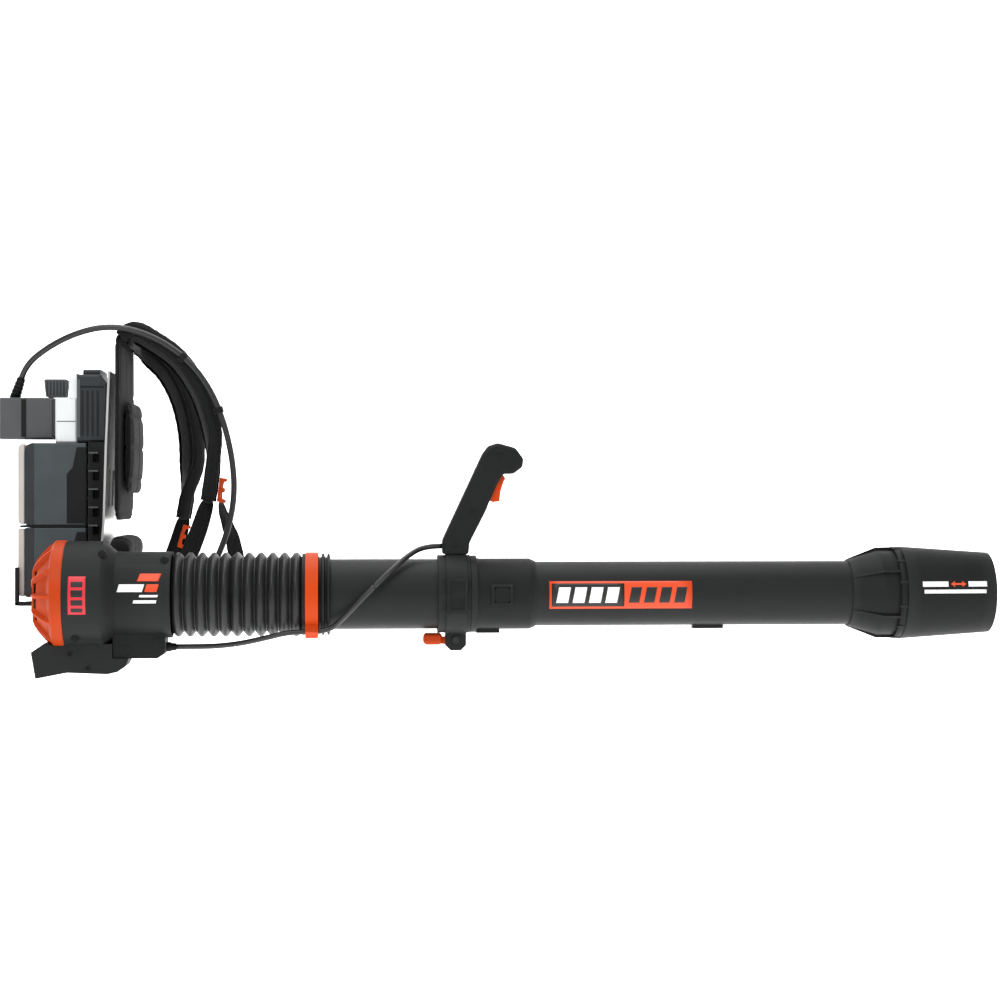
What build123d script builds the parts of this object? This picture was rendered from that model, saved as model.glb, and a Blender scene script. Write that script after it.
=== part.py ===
from build123d import *
import math
import os

# Backpack leaf blower, in millimetres.
# +X is the way the air blows (the wearer faces +X), +Y is the wearer's left, +Z is up.
# The origin is the middle of the plane that the wearer's back touches.

# ---- Driving dimensions: blower line ----
AXIS_Y = -230.0          # the blower hangs at the wearer's right side
AXIS_Z = -229.0
RUN_GAP = 0.35           # gap between plastic pieces that move on each other
SHAFT_GAP = 0.04         # radial play of a shaft in its bearing
HOUSING_X0 = -66.0       # rear rim of the motor housing
HOUSING_R = 72.0
HOUSING_LENGTH = 50.0
CONE_LENGTH = 17.0
NECK_R = 57.8
NECK_LENGTH = 73.0
WALL = 3.0
GRILLE_R = 72.0
GRILLE_DEPTH = 44.6
GRILLE_NOSE_R = 29.0
GRILLE_RIBS = 12
FAN_BLADES = 9
FAN_HUB_R = 24.0
FAN_LENGTH = 26.0
SHAFT_R = 4.0
BEARING_R = 9.0
MOTOR_R = 21.0
MOTOR_LENGTH = 56.0
VANES = 8
HOSE_PITCH = 15.73
HOSE_RIDGES_REAR = 5
HOSE_RIDGES_FRONT = 6
HOSE_RIDGE_R = 56.9
HOSE_VALLEY_R = 49.5
HOSE_WALL = 2.0
CUFF_LENGTH = 38.0
CLAMP_RING_WIDTH = 17.0
CLAMP_RING_R = 56.6
TUBE_WALL = 2.2
REAR_TUBE_R = 47.3
REAR_TUBE_LENGTH = 228.0
COUPLER_LENGTH = 88.0
COUPLER_R = 47.9
COUPLER_FLANGE_R = 52.0
FRONT_TUBE_R = 43.5
FRONT_TUBE_LENGTH = 511.0
NOZZLE_HUB_LENGTH = 70.0
NOZZLE_HUB_R = 62.3
NOZZLE_FINS = 6
SLEEVE_LENGTH = 124.0
SLEEVE_REAR_R = 63.3
SLEEVE_FRONT_R = 54.8
SLEEVE_WALL = 2.5
OUTLET_LAND = 20.0

# ---- Places along the blower line, worked out from the sizes above ----
HOUSING_X1 = HOUSING_X0 + HOUSING_LENGTH
NECK_X0 = HOUSING_X1 + CONE_LENGTH
NECK_X1 = NECK_X0 + NECK_LENGTH
HOSE_X0 = NECK_X1 + 0.3
HOSE_SPLIT = HOSE_X0 + HOSE_RIDGES_REAR * HOSE_PITCH
HOSE_X1 = HOSE_SPLIT + HOSE_RIDGES_FRONT * HOSE_PITCH
CUFF_X0 = HOSE_X1
CUFF_X1 = CUFF_X0 + CUFF_LENGTH
RING_X0 = CUFF_X0 + 4.5
REAR_TUBE_X0 = CUFF_X0 + 3.0
REAR_TUBE_X1 = REAR_TUBE_X0 + REAR_TUBE_LENGTH
COUPLER_X0 = REAR_TUBE_X1 - 5.0
COUPLER_X1 = COUPLER_X0 + COUPLER_LENGTH
FRONT_TUBE_X0 = REAR_TUBE_X1 + 8.0
FRONT_TUBE_X1 = FRONT_TUBE_X0 + FRONT_TUBE_LENGTH
HUB_X0 = FRONT_TUBE_X1 - 6.0
HUB_X1 = HUB_X0 + NOZZLE_HUB_LENGTH
SLEEVE_X0 = HUB_X1 + 1.0
SLEEVE_X1 = SLEEVE_X0 + SLEEVE_LENGTH

os.makedirs("parts", exist_ok=True)


def save(node, shape):
    """Write one sub-part, already in the object's frame."""
    export_step(shape, f"parts/{node}.step")


def on_axis(shape):
    """Move a shape drawn about the X axis onto the blower's air line."""
    return Pos(0, AXIS_Y, AXIS_Z) * shape


def turned(points):
    """A solid of revolution about X from (x, radius) points."""
    return revolve(make_face(Polyline(*[(x, r, 0) for x, r in points], close=True)), Axis.X)


def rod_x(x0, x1, r, y=0.0, z=0.0):
    """A round bar along X."""
    return Pos((x0 + x1) / 2, y, z) * Rot(0, 90, 0) * Cylinder(r, x1 - x0)


def rod_y(x, z, y0, y1, r):
    """A round bar along Y."""
    return Pos(x, (y0 + y1) / 2, z) * Rot(90, 0, 0) * Cylinder(r, abs(y1 - y0))


def pipe_x(x0, x1, r_out, r_in):
    """A tube along X."""
    return turned([(x0, r_in), (x0, r_out), (x1, r_out), (x1, r_in)])


def block(x0, x1, y0, y1, z0, z1):
    """A box given by its corners."""
    return Pos((x0 + x1) / 2, (y0 + y1) / 2, (z0 + z1) / 2) * Box(x1 - x0, y1 - y0, z1 - z0)


def slab(outline, y0, y1):
    """A plate in the XZ plane, from y0 to y1."""
    face = make_face(Polyline(*[(x, y0, z) for x, z in outline], close=True))
    return extrude(face, amount=y1 - y0, dir=(0, 1, 0))


def rounded(shape, radius, chosen):
    """Fillet the chosen edges, by less than half of the shape's thinnest side."""
    size = shape.bounding_box().size
    return fillet(chosen, min(radius, 0.45 * min(size.X, size.Y, size.Z)))


def halves(shape, y_split=0.0):
    """Split a casing into its right (-Y) and left (+Y) shells."""
    reach = 1000.0
    right = shape & block(-reach, 2 * reach, y_split - reach, y_split, -reach, reach)
    left = shape & block(-reach, 2 * reach, y_split, y_split + reach, -reach, reach)
    return right, left


# ---- Motor housing: a duct with a belly for the wiring, in two shells ----
BELLY_HALF = 28.0
BELLY_Z = -83.6
BELLY_X0 = NECK_X0 - 4.0
BELLY_X1 = NECK_X1 - 8.0
SCREW_R = 2.0
SCREW_HEAD_R = 3.6
SCREW_HEAD = 2.4
SCREW_REACH = 4.5
BOSS_R = 6.0
CASE_SCREWS = [(HOUSING_X1 + 1.0, 54.7), (NECK_X1 - 8.0, 46.5), (HOUSING_X0 + 15.6, -55.0),
               (NECK_X1 - 16.0, -62.0), (NECK_X0 + 12.0, -72.0)]


def duct_profile(inset):
    """The housing's outline as (x, radius), pulled in by inset."""
    return [(HOUSING_X0, HOUSING_R - inset), (HOUSING_X1, HOUSING_R - inset),
            (NECK_X0, NECK_R - inset), (NECK_X1, NECK_R - inset)]


def duct_solid(inset):
    """The whole duct as a plug, for cutting and joining."""
    return turned([(HOUSING_X0, 0)] + duct_profile(inset) + [(NECK_X1, 0)])


def case_side(x, z):
    """How far the casing reaches from the split plane at a screw."""
    if z < -50 and x > BELLY_X0:
        return BELLY_HALF
    radius = HOUSING_R if x < HOUSING_X1 else HOUSING_R - (x - HOUSING_X1) * (HOUSING_R - NECK_R) / CONE_LENGTH
    radius = max(radius, NECK_R)
    return math.sqrt(radius ** 2 - z ** 2)


def screw(x, z, side, seat):
    """A pan-head screw along Y, its head seated at seat from the split plane."""
    head = rod_y(x, z, side * seat, side * (seat + SCREW_HEAD), SCREW_HEAD_R)
    shank = rod_y(x, z, side * (seat - SCREW_REACH), side * seat, SCREW_R)
    return head + shank


def motor_housing():
    belly = slab([(BELLY_X0, -40), (BELLY_X1, -40), (BELLY_X1, -77), (BELLY_X1 - 10, BELLY_Z),
                  (BELLY_X0, BELLY_Z)], -BELLY_HALF, BELLY_HALF)
    inner = slab([(BELLY_X0 + WALL, -40), (BELLY_X1 - WALL, -40), (BELLY_X1 - WALL, -76),
                  (BELLY_X1 - 11, BELLY_Z + WALL), (BELLY_X0 + WALL, BELLY_Z + WALL)],
                 WALL - BELLY_HALF, BELLY_HALF - WALL)
    shell = duct_solid(0) + (belly - inner)
    for x, z in CASE_SCREWS:
        seat = case_side(x, z) + 1.0
        for side in (-1, 1):
            shell += rod_y(x, z, side * (seat - SCREW_REACH - 1.5), side * seat, BOSS_R)
    shell -= duct_solid(WALL)
    for x, z in CASE_SCREWS:
        seat = case_side(x, z) + 1.0
        for side in (-1, 1):
            shell -= rod_y(x, z, side * (seat - SCREW_REACH), side * (seat + 1), SCREW_R)
            shell -= rod_y(x, z, side * seat, side * (seat + 12), SCREW_HEAD_R + 0.6)
    return halves(shell)


def housing_screws():
    return Compound([screw(x, z, side, case_side(x, z) + 1.0) for x, z in CASE_SCREWS for side in (-1, 1)])


# ---- Intake grille: a domed cage of ribs and rings ----
GRILLE_RING_WIDTH = 15.0
GRILLE_BAR = 3.2
GRILLE_X0 = HOUSING_X0 - GRILLE_DEPTH
GRILLE_BAND_X = HOUSING_X0 - GRILLE_RING_WIDTH


def grille_outline(inset):
    """The dome's outline as (x, radius) from its band to its nose."""
    return [(GRILLE_BAND_X, GRILLE_R - inset), (GRILLE_X0 + 5.5, 46.0 - inset),
            (GRILLE_X0 + inset, GRILLE_NOSE_R), (GRILLE_X0 + inset, 0)]


def intake_grille():
    band = pipe_x(GRILLE_BAND_X, HOUSING_X0, GRILLE_R, GRILLE_R - WALL)
    dome = turned([(GRILLE_BAND_X, 0)] + grille_outline(0))
    dome -= turned([(GRILLE_BAND_X, 0)] + grille_outline(GRILLE_BAR))
    rib = block(GRILLE_X0, GRILLE_BAND_X, -GRILLE_BAR / 2, GRILLE_BAR / 2, 0, GRILLE_R)
    spokes = rib
    for i in range(1, GRILLE_RIBS):
        spokes += Rot(360 * i / GRILLE_RIBS, 0, 0) * rib
    hoops = pipe_x(GRILLE_X0, GRILLE_BAND_X, 47.5, 44.0) + rod_x(GRILLE_X0, GRILLE_BAND_X, 13)
    hoops += pipe_x(GRILLE_X0, GRILLE_BAND_X, 31.0, 27.5)
    return band + (dome & (spokes + hoops))


# ---- Fan, shaft, motor and stator ----
FAN_X0 = HOUSING_X0 + 8.0
FAN_X1 = FAN_X0 + FAN_LENGTH
MOTOR_X0 = FAN_X1 + 6.0
MOTOR_X1 = MOTOR_X0 + MOTOR_LENGTH
STATOR_HUB_R = MOTOR_R + 3.0
STATOR_TAIL = 24.0
VANE_X0 = NECK_X0 + 6.0
VANE_X1 = VANE_X0 + 30.0
BEARING_WIDTH = 7.0


def fan_rotor():
    nose = turned([(FAN_X0 - 6, 0), (FAN_X0 - 6, 10), (FAN_X0, 18), (FAN_X0 + 8, FAN_HUB_R),
                   (FAN_X1, FAN_HUB_R), (FAN_X1, 0)])
    tip = HOUSING_R - WALL - 1.2
    blade = block(FAN_X0 + 4, FAN_X1 - 2, -1.6, 1.6, FAN_HUB_R - 3, tip)
    blade = Pos((FAN_X0 + FAN_X1) / 2, 0, 0) * Rot(0, 0, 38) * Pos(-(FAN_X0 + FAN_X1) / 2, 0, 0) * blade
    blade &= rod_x(FAN_X0, FAN_X1, tip)
    wheel = nose
    for i in range(FAN_BLADES):
        wheel += Rot(360 * i / FAN_BLADES, 0, 0) * blade
    return wheel - rod_x(FAN_X0 + 2, FAN_X1 + 1, SHAFT_R)


def motor_shaft():
    shaft = rod_x(FAN_X0 + 2, MOTOR_X1 - 2, SHAFT_R)
    return shaft + rod_x(MOTOR_X0 + 14, MOTOR_X1 - 14, BEARING_R + 2.5)


def motor_stator():
    bore = BEARING_R + 2.5 + 0.8
    return turned([(MOTOR_X0, BEARING_R), (MOTOR_X0, MOTOR_R), (MOTOR_X1, MOTOR_R), (MOTOR_X1, BEARING_R),
                   (MOTOR_X1 - BEARING_WIDTH - 1, BEARING_R), (MOTOR_X1 - BEARING_WIDTH - 1, bore),
                   (MOTOR_X0 + BEARING_WIDTH + 1, bore), (MOTOR_X0 + BEARING_WIDTH + 1, BEARING_R)])


def motor_bearings():
    inner = SHAFT_R + SHAFT_GAP
    front = pipe_x(MOTOR_X0 + 0.5, MOTOR_X0 + 0.5 + BEARING_WIDTH, BEARING_R, inner)
    rear = pipe_x(MOTOR_X1 - 0.5 - BEARING_WIDTH, MOTOR_X1 - 0.5, BEARING_R, inner)
    return Compound([front, rear])


def stator_vanes():
    hub = turned([(MOTOR_X0, MOTOR_R), (MOTOR_X0, STATOR_HUB_R), (MOTOR_X1, STATOR_HUB_R),
                  (MOTOR_X1 + STATOR_TAIL, 4), (MOTOR_X1 + STATOR_TAIL, 0), (MOTOR_X1 + STATOR_TAIL - 4, 0),
                  (MOTOR_X1, MOTOR_R)])
    vane = block(VANE_X0, VANE_X1, -1.3, 1.3, STATOR_HUB_R - 1, NECK_R - WALL)
    vane &= rod_x(VANE_X0, VANE_X1, NECK_R - WALL)
    for i in range(VANES):
        hub += Rot(360 * i / VANES + 22.5, 0, 0) * vane
    return hub


# ---- Control box under the housing: scoop, board and glands ----
BOX_HALF = 32.0
BOX_TOP = -64.0
BOX_FLOOR = -104.1
CABLE_R = 3.6
GLAND_Z = -70.0
CORD_R = 4.2
SOCKET_X = 4.0
SOCKET_Z = -90.0
SOCKET_LENGTH = 14.0
BOX_OUTLINE = [(-109.9, -74.8), (-92.7, -63.0), (-75.6, -67.0), (HOUSING_X0, BOX_TOP), (BELLY_X0 - 0.5, BOX_TOP),
               (BELLY_X0 - 0.5, BELLY_Z - 0.1), (18.5, BELLY_Z - 0.1), (14.0, -94.0), (3.9, -101.0),
               (-9.4, BOX_FLOOR), (-62.3, -101.8), (-104.0, -109.6)]
BOX_CORE = [(-62.0, BOX_TOP - 4), (BELLY_X0 - 4, BOX_TOP - 4), (BELLY_X0 - 4, BELLY_Z - 4), (8.0, BELLY_Z - 4),
            (0.0, -97.0), (-10.0, BOX_FLOOR + WALL), (-60.0, -98.0)]
SCOOP_CORE = [(-110.5, -77.5), (-92.7, -66.5), (-76.0, -70.0), (-66.5, -76.0), (-66.5, -97.0), (-106.0, -106.5)]
BOX_SCREWS = [(-58.0, -76.0), (-34.5, -95.3)]


def control_box():
    box = slab(BOX_OUTLINE, -BOX_HALF, BOX_HALF)
    box -= slab(BOX_CORE, WALL - BOX_HALF, BOX_HALF - WALL)
    box -= slab(SCOOP_CORE, WALL - BOX_HALF, BOX_HALF - WALL)
    box -= turned([(GRILLE_X0, 0), (GRILLE_X0, GRILLE_NOSE_R), (GRILLE_X0 + 5.5, 46.0), (GRILLE_BAND_X, GRILLE_R)]
                  + duct_profile(0) + [(NECK_X1, 0)])
    for x, z in BOX_SCREWS:
        for side in (-1, 1):
            box -= rod_y(x, z, side * (BOX_HALF - 2), side * (BOX_HALF + 1), 3.4)
    box -= rod_y(SOCKET_X, SOCKET_Z, BOX_HALF - 6, BOX_HALF + 1, CORD_R + 1.5)
    return halves(box)


def controller_board():
    return block(-56, -14, -24, 24, -92, -84)


def cable_glands():
    """The control cable's strain relief on the belly, and the power cord's boot on the box's far side."""
    gland = turned([(BELLY_X1, 0), (BELLY_X1, 6.5), (BELLY_X1 + 5, 6.5), (BELLY_X1 + 7, 5.2),
                    (BELLY_X1 + 13, 4.8), (BELLY_X1 + 13, 0)])
    boot = rod_y(SOCKET_X, SOCKET_Z, BOX_HALF - 6, BOX_HALF + 4, CORD_R + 1.5)
    boot += rod_y(SOCKET_X, SOCKET_Z, BOX_HALF + 4, BOX_HALF + SOCKET_LENGTH, CORD_R + 0.9)
    return Compound([Pos(0, 0, GLAND_Z) * gland, boot])


# ---- Corrugated hose, its cuff and the clamp ring ----
def hose_half(x0, ridges):
    """A stretch of corrugated hose that starts and ends in a valley."""
    outer = [(x0, HOSE_VALLEY_R)]
    for i in range(ridges):
        start = x0 + i * HOSE_PITCH
        outer += [(start + 0.18 * HOSE_PITCH, HOSE_VALLEY_R), (start + 0.34 * HOSE_PITCH, HOSE_RIDGE_R),
                  (start + 0.66 * HOSE_PITCH, HOSE_RIDGE_R), (start + 0.82 * HOSE_PITCH, HOSE_VALLEY_R)]
    outer.append((x0 + ridges * HOSE_PITCH, HOSE_VALLEY_R))
    inner = [(x, r - HOSE_WALL) for x, r in reversed(outer)]
    return turned(outer + inner)


BRIDGE_TURN = -40.0       # where round the hose the cable crosses the ring, from the bottom
BRIDGE_R = HOSE_RIDGE_R + CABLE_R + 2.5
BRIDGE_Y = BRIDGE_R * math.sin(math.radians(BRIDGE_TURN))
BRIDGE_Z = -BRIDGE_R * math.cos(math.radians(BRIDGE_TURN))


def hose_clamp_ring():
    ring = pipe_x(RING_X0, RING_X0 + CLAMP_RING_WIDTH, CLAMP_RING_R, CLAMP_RING_R - 3)
    lug = block(RING_X0, RING_X0 + CLAMP_RING_WIDTH, -6.5, 6.5, -BRIDGE_R - 6, -CLAMP_RING_R + 1.5)
    lug -= rod_x(RING_X0 - 1, RING_X0 + CLAMP_RING_WIDTH + 1, CABLE_R, 0, -BRIDGE_R)
    return ring + Rot(BRIDGE_TURN, 0, 0) * lug


def hose_cuff():
    x = CUFF_X0
    seat = CLAMP_RING_R - 3
    return turned([(x, REAR_TUBE_R - 1.5), (x, HOSE_RIDGE_R - 2), (RING_X0, HOSE_RIDGE_R - 2), (RING_X0, seat),
                   (RING_X0 + CLAMP_RING_WIDTH, seat), (x + 22.5, 50.0), (x + 25.5, 50.0), (x + 26.5, 55.0),
                   (x + 29.5, 55.0), (x + 30.5, 50.0), (x + 33.0, 50.0), (x + 34.0, 55.0), (x + 36.5, 55.0),
                   (CUFF_X1, 50.0), (CUFF_X1, REAR_TUBE_R), (REAR_TUBE_X0, REAR_TUBE_R),
                   (REAR_TUBE_X0, REAR_TUBE_R - 1.5)])


# ---- Wand tubes and coupler ----
BUTTON = 20.0
BUTTON_X = COUPLER_X0 + 41.0
BUTTON_STROKE = 2.5


def rear_tube():
    return pipe_x(REAR_TUBE_X0, REAR_TUBE_X1, REAR_TUBE_R, REAR_TUBE_R - TUBE_WALL)


def tube_coupler():
    bore = FRONT_TUBE_R + RUN_GAP
    body = turned([(COUPLER_X0, REAR_TUBE_R), (COUPLER_X0, COUPLER_FLANGE_R), (COUPLER_X0 + 8, COUPLER_FLANGE_R),
                   (COUPLER_X0 + 8, COUPLER_R + 0.8), (COUPLER_X0 + 12, COUPLER_R), (COUPLER_X1 - 8, COUPLER_R),
                   (COUPLER_X1, FRONT_TUBE_R + 1.2), (COUPLER_X1, bore), (REAR_TUBE_X1, bore),
                   (REAR_TUBE_X1, REAR_TUBE_R)])
    pad = block(BUTTON_X - 15, BUTTON_X + 15, -COUPLER_R - 2, -COUPLER_R + 4, -15, 15)
    tab = block(COUPLER_X0 + 9, COUPLER_X0 + 40, -7, 7, -COUPLER_R - 5, -COUPLER_R + 2)
    body += fillet(pad.edges().filter_by(Axis.Y), 3) + tab
    body -= rod_x(REAR_TUBE_X1, COUPLER_X1, bore)
    room = BUTTON / 2 + RUN_GAP
    return body - block(BUTTON_X - room, BUTTON_X + room, -COUPLER_R - 3, -30, -room, room)


def lock_button():
    """Its cap is domed; behind it stays room for the stroke."""
    back = -FRONT_TUBE_R - BUTTON_STROKE - 0.6
    cap = block(BUTTON_X - BUTTON / 2, BUTTON_X + BUTTON / 2, -COUPLER_R - 3.6, back, -BUTTON / 2, BUTTON / 2)
    return fillet(cap.edges().filter_by(Axis.Y), 4)


def front_tube():
    tube = pipe_x(FRONT_TUBE_X0, FRONT_TUBE_X1, FRONT_TUBE_R, FRONT_TUBE_R - TUBE_WALL)
    tab = block(FRONT_TUBE_X0 + 291, FRONT_TUBE_X0 + 333, -6, 6, -FRONT_TUBE_R - 4.5, -FRONT_TUBE_R + 1.5)
    return tube + tab


# ---- Nozzle: finned hub and the sleeve that slides on it ----
BARREL_R = 46.0
BARREL_LENGTH = 60.0
FIN = 3.0


def nozzle_hub():
    core = turned([(HUB_X0, FRONT_TUBE_R), (HUB_X0, FRONT_TUBE_R + 2), (HUB_X0 + 40, NOZZLE_HUB_R - 4.5),
                   (HUB_X1 - 6, NOZZLE_HUB_R - 4.5), (HUB_X1 - 6, NOZZLE_HUB_R - 0.5), (HUB_X1, NOZZLE_HUB_R - 0.5),
                   (HUB_X1, BARREL_R), (HUB_X1 + BARREL_LENGTH, BARREL_R),
                   (HUB_X1 + BARREL_LENGTH, BARREL_R - 2.5), (FRONT_TUBE_X1 + 2, FRONT_TUBE_R - 2.5),
                   (FRONT_TUBE_X1, FRONT_TUBE_R - 2.5), (FRONT_TUBE_X1, FRONT_TUBE_R)])
    outline = [(HUB_X0, FRONT_TUBE_R), (HUB_X0, FRONT_TUBE_R + 2.5), (HUB_X0 + 40, NOZZLE_HUB_R - 0.6),
               (HUB_X1, NOZZLE_HUB_R), (HUB_X1, FRONT_TUBE_R)]
    skin = turned(outline)
    core -= turned([(HUB_X0 + 22, BARREL_R + 2.9), (HUB_X0 + 22, BARREL_R + 3.2), (HUB_X0 + 42, NOZZLE_HUB_R - 7.8),
                    (HUB_X1 + 1, NOZZLE_HUB_R - 7.8), (HUB_X1 + 1, BARREL_R + 2.9)])
    fin = block(HUB_X0, HUB_X1, -FIN / 2, FIN / 2, FRONT_TUBE_R + 1, NOZZLE_HUB_R)
    for i in range(NOZZLE_FINS):
        core += Rot(360 * i / NOZZLE_FINS, 0, 0) * (fin & skin)
    return core


def nozzle_sleeve():
    """The outer nozzle, carried by a slotted collar that runs on the hub's barrel."""
    wall = SLEEVE_WALL
    shell = turned([(SLEEVE_X0, SLEEVE_REAR_R - wall), (SLEEVE_X0, SLEEVE_REAR_R),
                    (SLEEVE_X1, SLEEVE_FRONT_R), (SLEEVE_X1, SLEEVE_FRONT_R - wall),
                    (SLEEVE_X1 - OUTLET_LAND, SLEEVE_FRONT_R - wall)])
    collar = pipe_x(SLEEVE_X0 + 22, SLEEVE_X0 + 40, BARREL_R + RUN_GAP + 3, BARREL_R + RUN_GAP)
    envelope = turned([(SLEEVE_X0, 0), (SLEEVE_X0, SLEEVE_REAR_R - 1), (SLEEVE_X1, SLEEVE_FRONT_R - 1),
                       (SLEEVE_X1, 0)])
    web = block(SLEEVE_X0 + 22, SLEEVE_X0 + 40, -1.5, 1.5, BARREL_R + RUN_GAP + 1, SLEEVE_REAR_R)
    for i in range(NOZZLE_FINS):
        shell += Rot(360 * i / NOZZLE_FINS + 30, 0, 0) * (web & envelope)
    return shell + collar


# ---- Handle clamp: liner, two half rings, cam lever ----
HANDLE_X = COUPLER_X0 - 19.3
CLAMP_X0 = HANDLE_X - 24.5
CLAMP_X1 = HANDLE_X + 18.5
CLAMP_LIP = 3.0
LINER_IN = REAR_TUBE_R + RUN_GAP
LINER_OUT = LINER_IN + 1.6
CLAMP_IN = LINER_OUT + RUN_GAP
CLAMP_OUT = CLAMP_IN + 3.0
YOKE_OUT = CLAMP_OUT + 2.2
YOKE_HALF = 14.0
LUG_Z = -76.3
PIVOT_Z = -62.5
EAR_GAP = 3.4
LEVER_HALF = EAR_GAP - RUN_GAP
CAM_PIN_R = 3.0


def clamp_liner():
    return pipe_x(CLAMP_X0 + CLAMP_LIP + RUN_GAP, CLAMP_X1 - CLAMP_LIP - RUN_GAP, LINER_OUT, LINER_IN)


def clamp_ring():
    """The full ring, with a lip at each end that keeps the liner in and side pads at the split."""
    lip = LINER_IN + 0.4
    ring = turned([(CLAMP_X0, lip), (CLAMP_X0, CLAMP_OUT), (CLAMP_X1, CLAMP_OUT), (CLAMP_X1, lip),
                   (CLAMP_X1 - CLAMP_LIP, lip), (CLAMP_X1 - CLAMP_LIP, CLAMP_IN),
                   (CLAMP_X0 + CLAMP_LIP, CLAMP_IN), (CLAMP_X0 + CLAMP_LIP, lip)])
    ring += pipe_x(HANDLE_X - YOKE_HALF, HANDLE_X + YOKE_HALF, YOKE_OUT, CLAMP_IN + 0.5)
    for side in (-1, 1):
        near, far = sorted((side * (YOKE_OUT + 1.2), side * (YOKE_OUT - 4)))
        pad = block(HANDLE_X - YOKE_HALF, HANDLE_X + YOKE_HALF, near, far, -24, 24)
        near, far = sorted((side * (YOKE_OUT + 2), side * (YOKE_OUT + 0.2)))
        pad -= block(HANDLE_X - YOKE_HALF + 4, HANDLE_X + YOKE_HALF - 4, near, far, -19, 19)
        ring += pad - rod_x(CLAMP_X0, CLAMP_X1, CLAMP_IN + 1)
    return ring


def clamp_upper():
    return clamp_ring() & block(CLAMP_X0 - 1, CLAMP_X1 + 1, -100, 100, 0, 100)


def clamp_lower():
    lower = clamp_ring() & block(CLAMP_X0 - 1, CLAMP_X1 + 1, -100, 100, -100, -0.05)
    lug = slab([(HANDLE_X - YOKE_HALF, -45), (HANDLE_X + YOKE_HALF, -45), (HANDLE_X + YOKE_HALF, LUG_Z + 7),
                (HANDLE_X + YOKE_HALF - 7, LUG_Z), (HANDLE_X - YOKE_HALF + 7, LUG_Z),
                (HANDLE_X - YOKE_HALF, LUG_Z + 7)], -9, 9)
    lug -= rod_x(CLAMP_X0, CLAMP_X1, CLAMP_OUT)
    lug -= block(HANDLE_X - 40, HANDLE_X + 40, -EAR_GAP, EAR_GAP, LUG_Z - 1, -YOKE_OUT)
    lug -= rod_y(HANDLE_X, PIVOT_Z, -9.5, 9.5, CAM_PIN_R)
    return lower + lug


def cam_pin():
    pin = rod_y(HANDLE_X, PIVOT_Z, -10, 10, CAM_PIN_R)
    return pin + rod_y(HANDLE_X, PIVOT_Z, -12, -9.05, 5) + rod_y(HANDLE_X, PIVOT_Z, 9.05, 12, 5)


def cam_lever():
    """A round cam on the pin, an arm back along the tube and a thumb end."""
    cam = rod_y(HANDLE_X, PIVOT_Z, -LEVER_HALF, LEVER_HALF, 6.6)
    arm = slab([(HANDLE_X, PIVOT_Z + 5.5), (HANDLE_X - 20, PIVOT_Z + 4.5), (HANDLE_X - 20, PIVOT_Z - 5),
                (HANDLE_X, PIVOT_Z - 6.4)], -LEVER_HALF, LEVER_HALF)
    thumb = Pos(HANDLE_X - 31, 0, PIVOT_Z + 1.8) * Box(26, 17, 16.5)
    thumb = rounded(thumb, 6, thumb.edges())
    thumb -= rod_x(HANDLE_X - 60, HANDLE_X, CLAMP_OUT + 0.6)
    return cam + arm + thumb - rod_y(HANDLE_X, PIVOT_Z, -5, 5, CAM_PIN_R + 0.05)


# ---- Pistol handle: two shells, trigger and switch ----
HANDLE_HALF = 16.0
HANDLE_CABLE_Z = 64.7
HANDLE_TIP = 4.5
HANDLE_OUTLINE = [(-18.2, 48.0), (-18.2, 72.8), (36.1, 189.4), (44.3, 200.3), (56.5, 204.4), (81.0, 197.6),
                  (91.9, 182.7), (90.6, 171.8), (78.3, 162.3), (64.7, 162.3), (56.5, 148.7), (47.0, 127.0),
                  (40.5, 112.0), (18.5, 68.7), (17.1, 48.0)]
TRIGGER_OUTLINE = [(67.5, 156.0), (65.0, 152.0), (60.6, 138.0), (59.2, 125.0), (49.7, 124.0), (41.0, 131.0),
                   (45.0, 152.0), (48.0, 168.0), (60.0, 171.0), (63.0, 163.0)]
TRIGGER_SLOT = [(64.5, 161.0), (64.5, 173.5), (45.5, 173.5), (38.0, 152.0), (31.5, 131.0), (41.0, 119.0),
                (66.0, 117.0), (81.0, 150.0), (76.0, 161.5)]
TRIGGER_PIVOT = (56.0, 165.5)
TRIGGER_HALF = 8.0
TRIGGER_PIN_R = 2.5
HANDLE_SCREWS = [(59.2, 187.4), (22.5, 112.1), (-0.5, 66.0)]


def from_handle(points):
    """Handle outlines are drawn from the middle of its clamp."""
    return [(HANDLE_X + x, z) for x, z in points]


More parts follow.
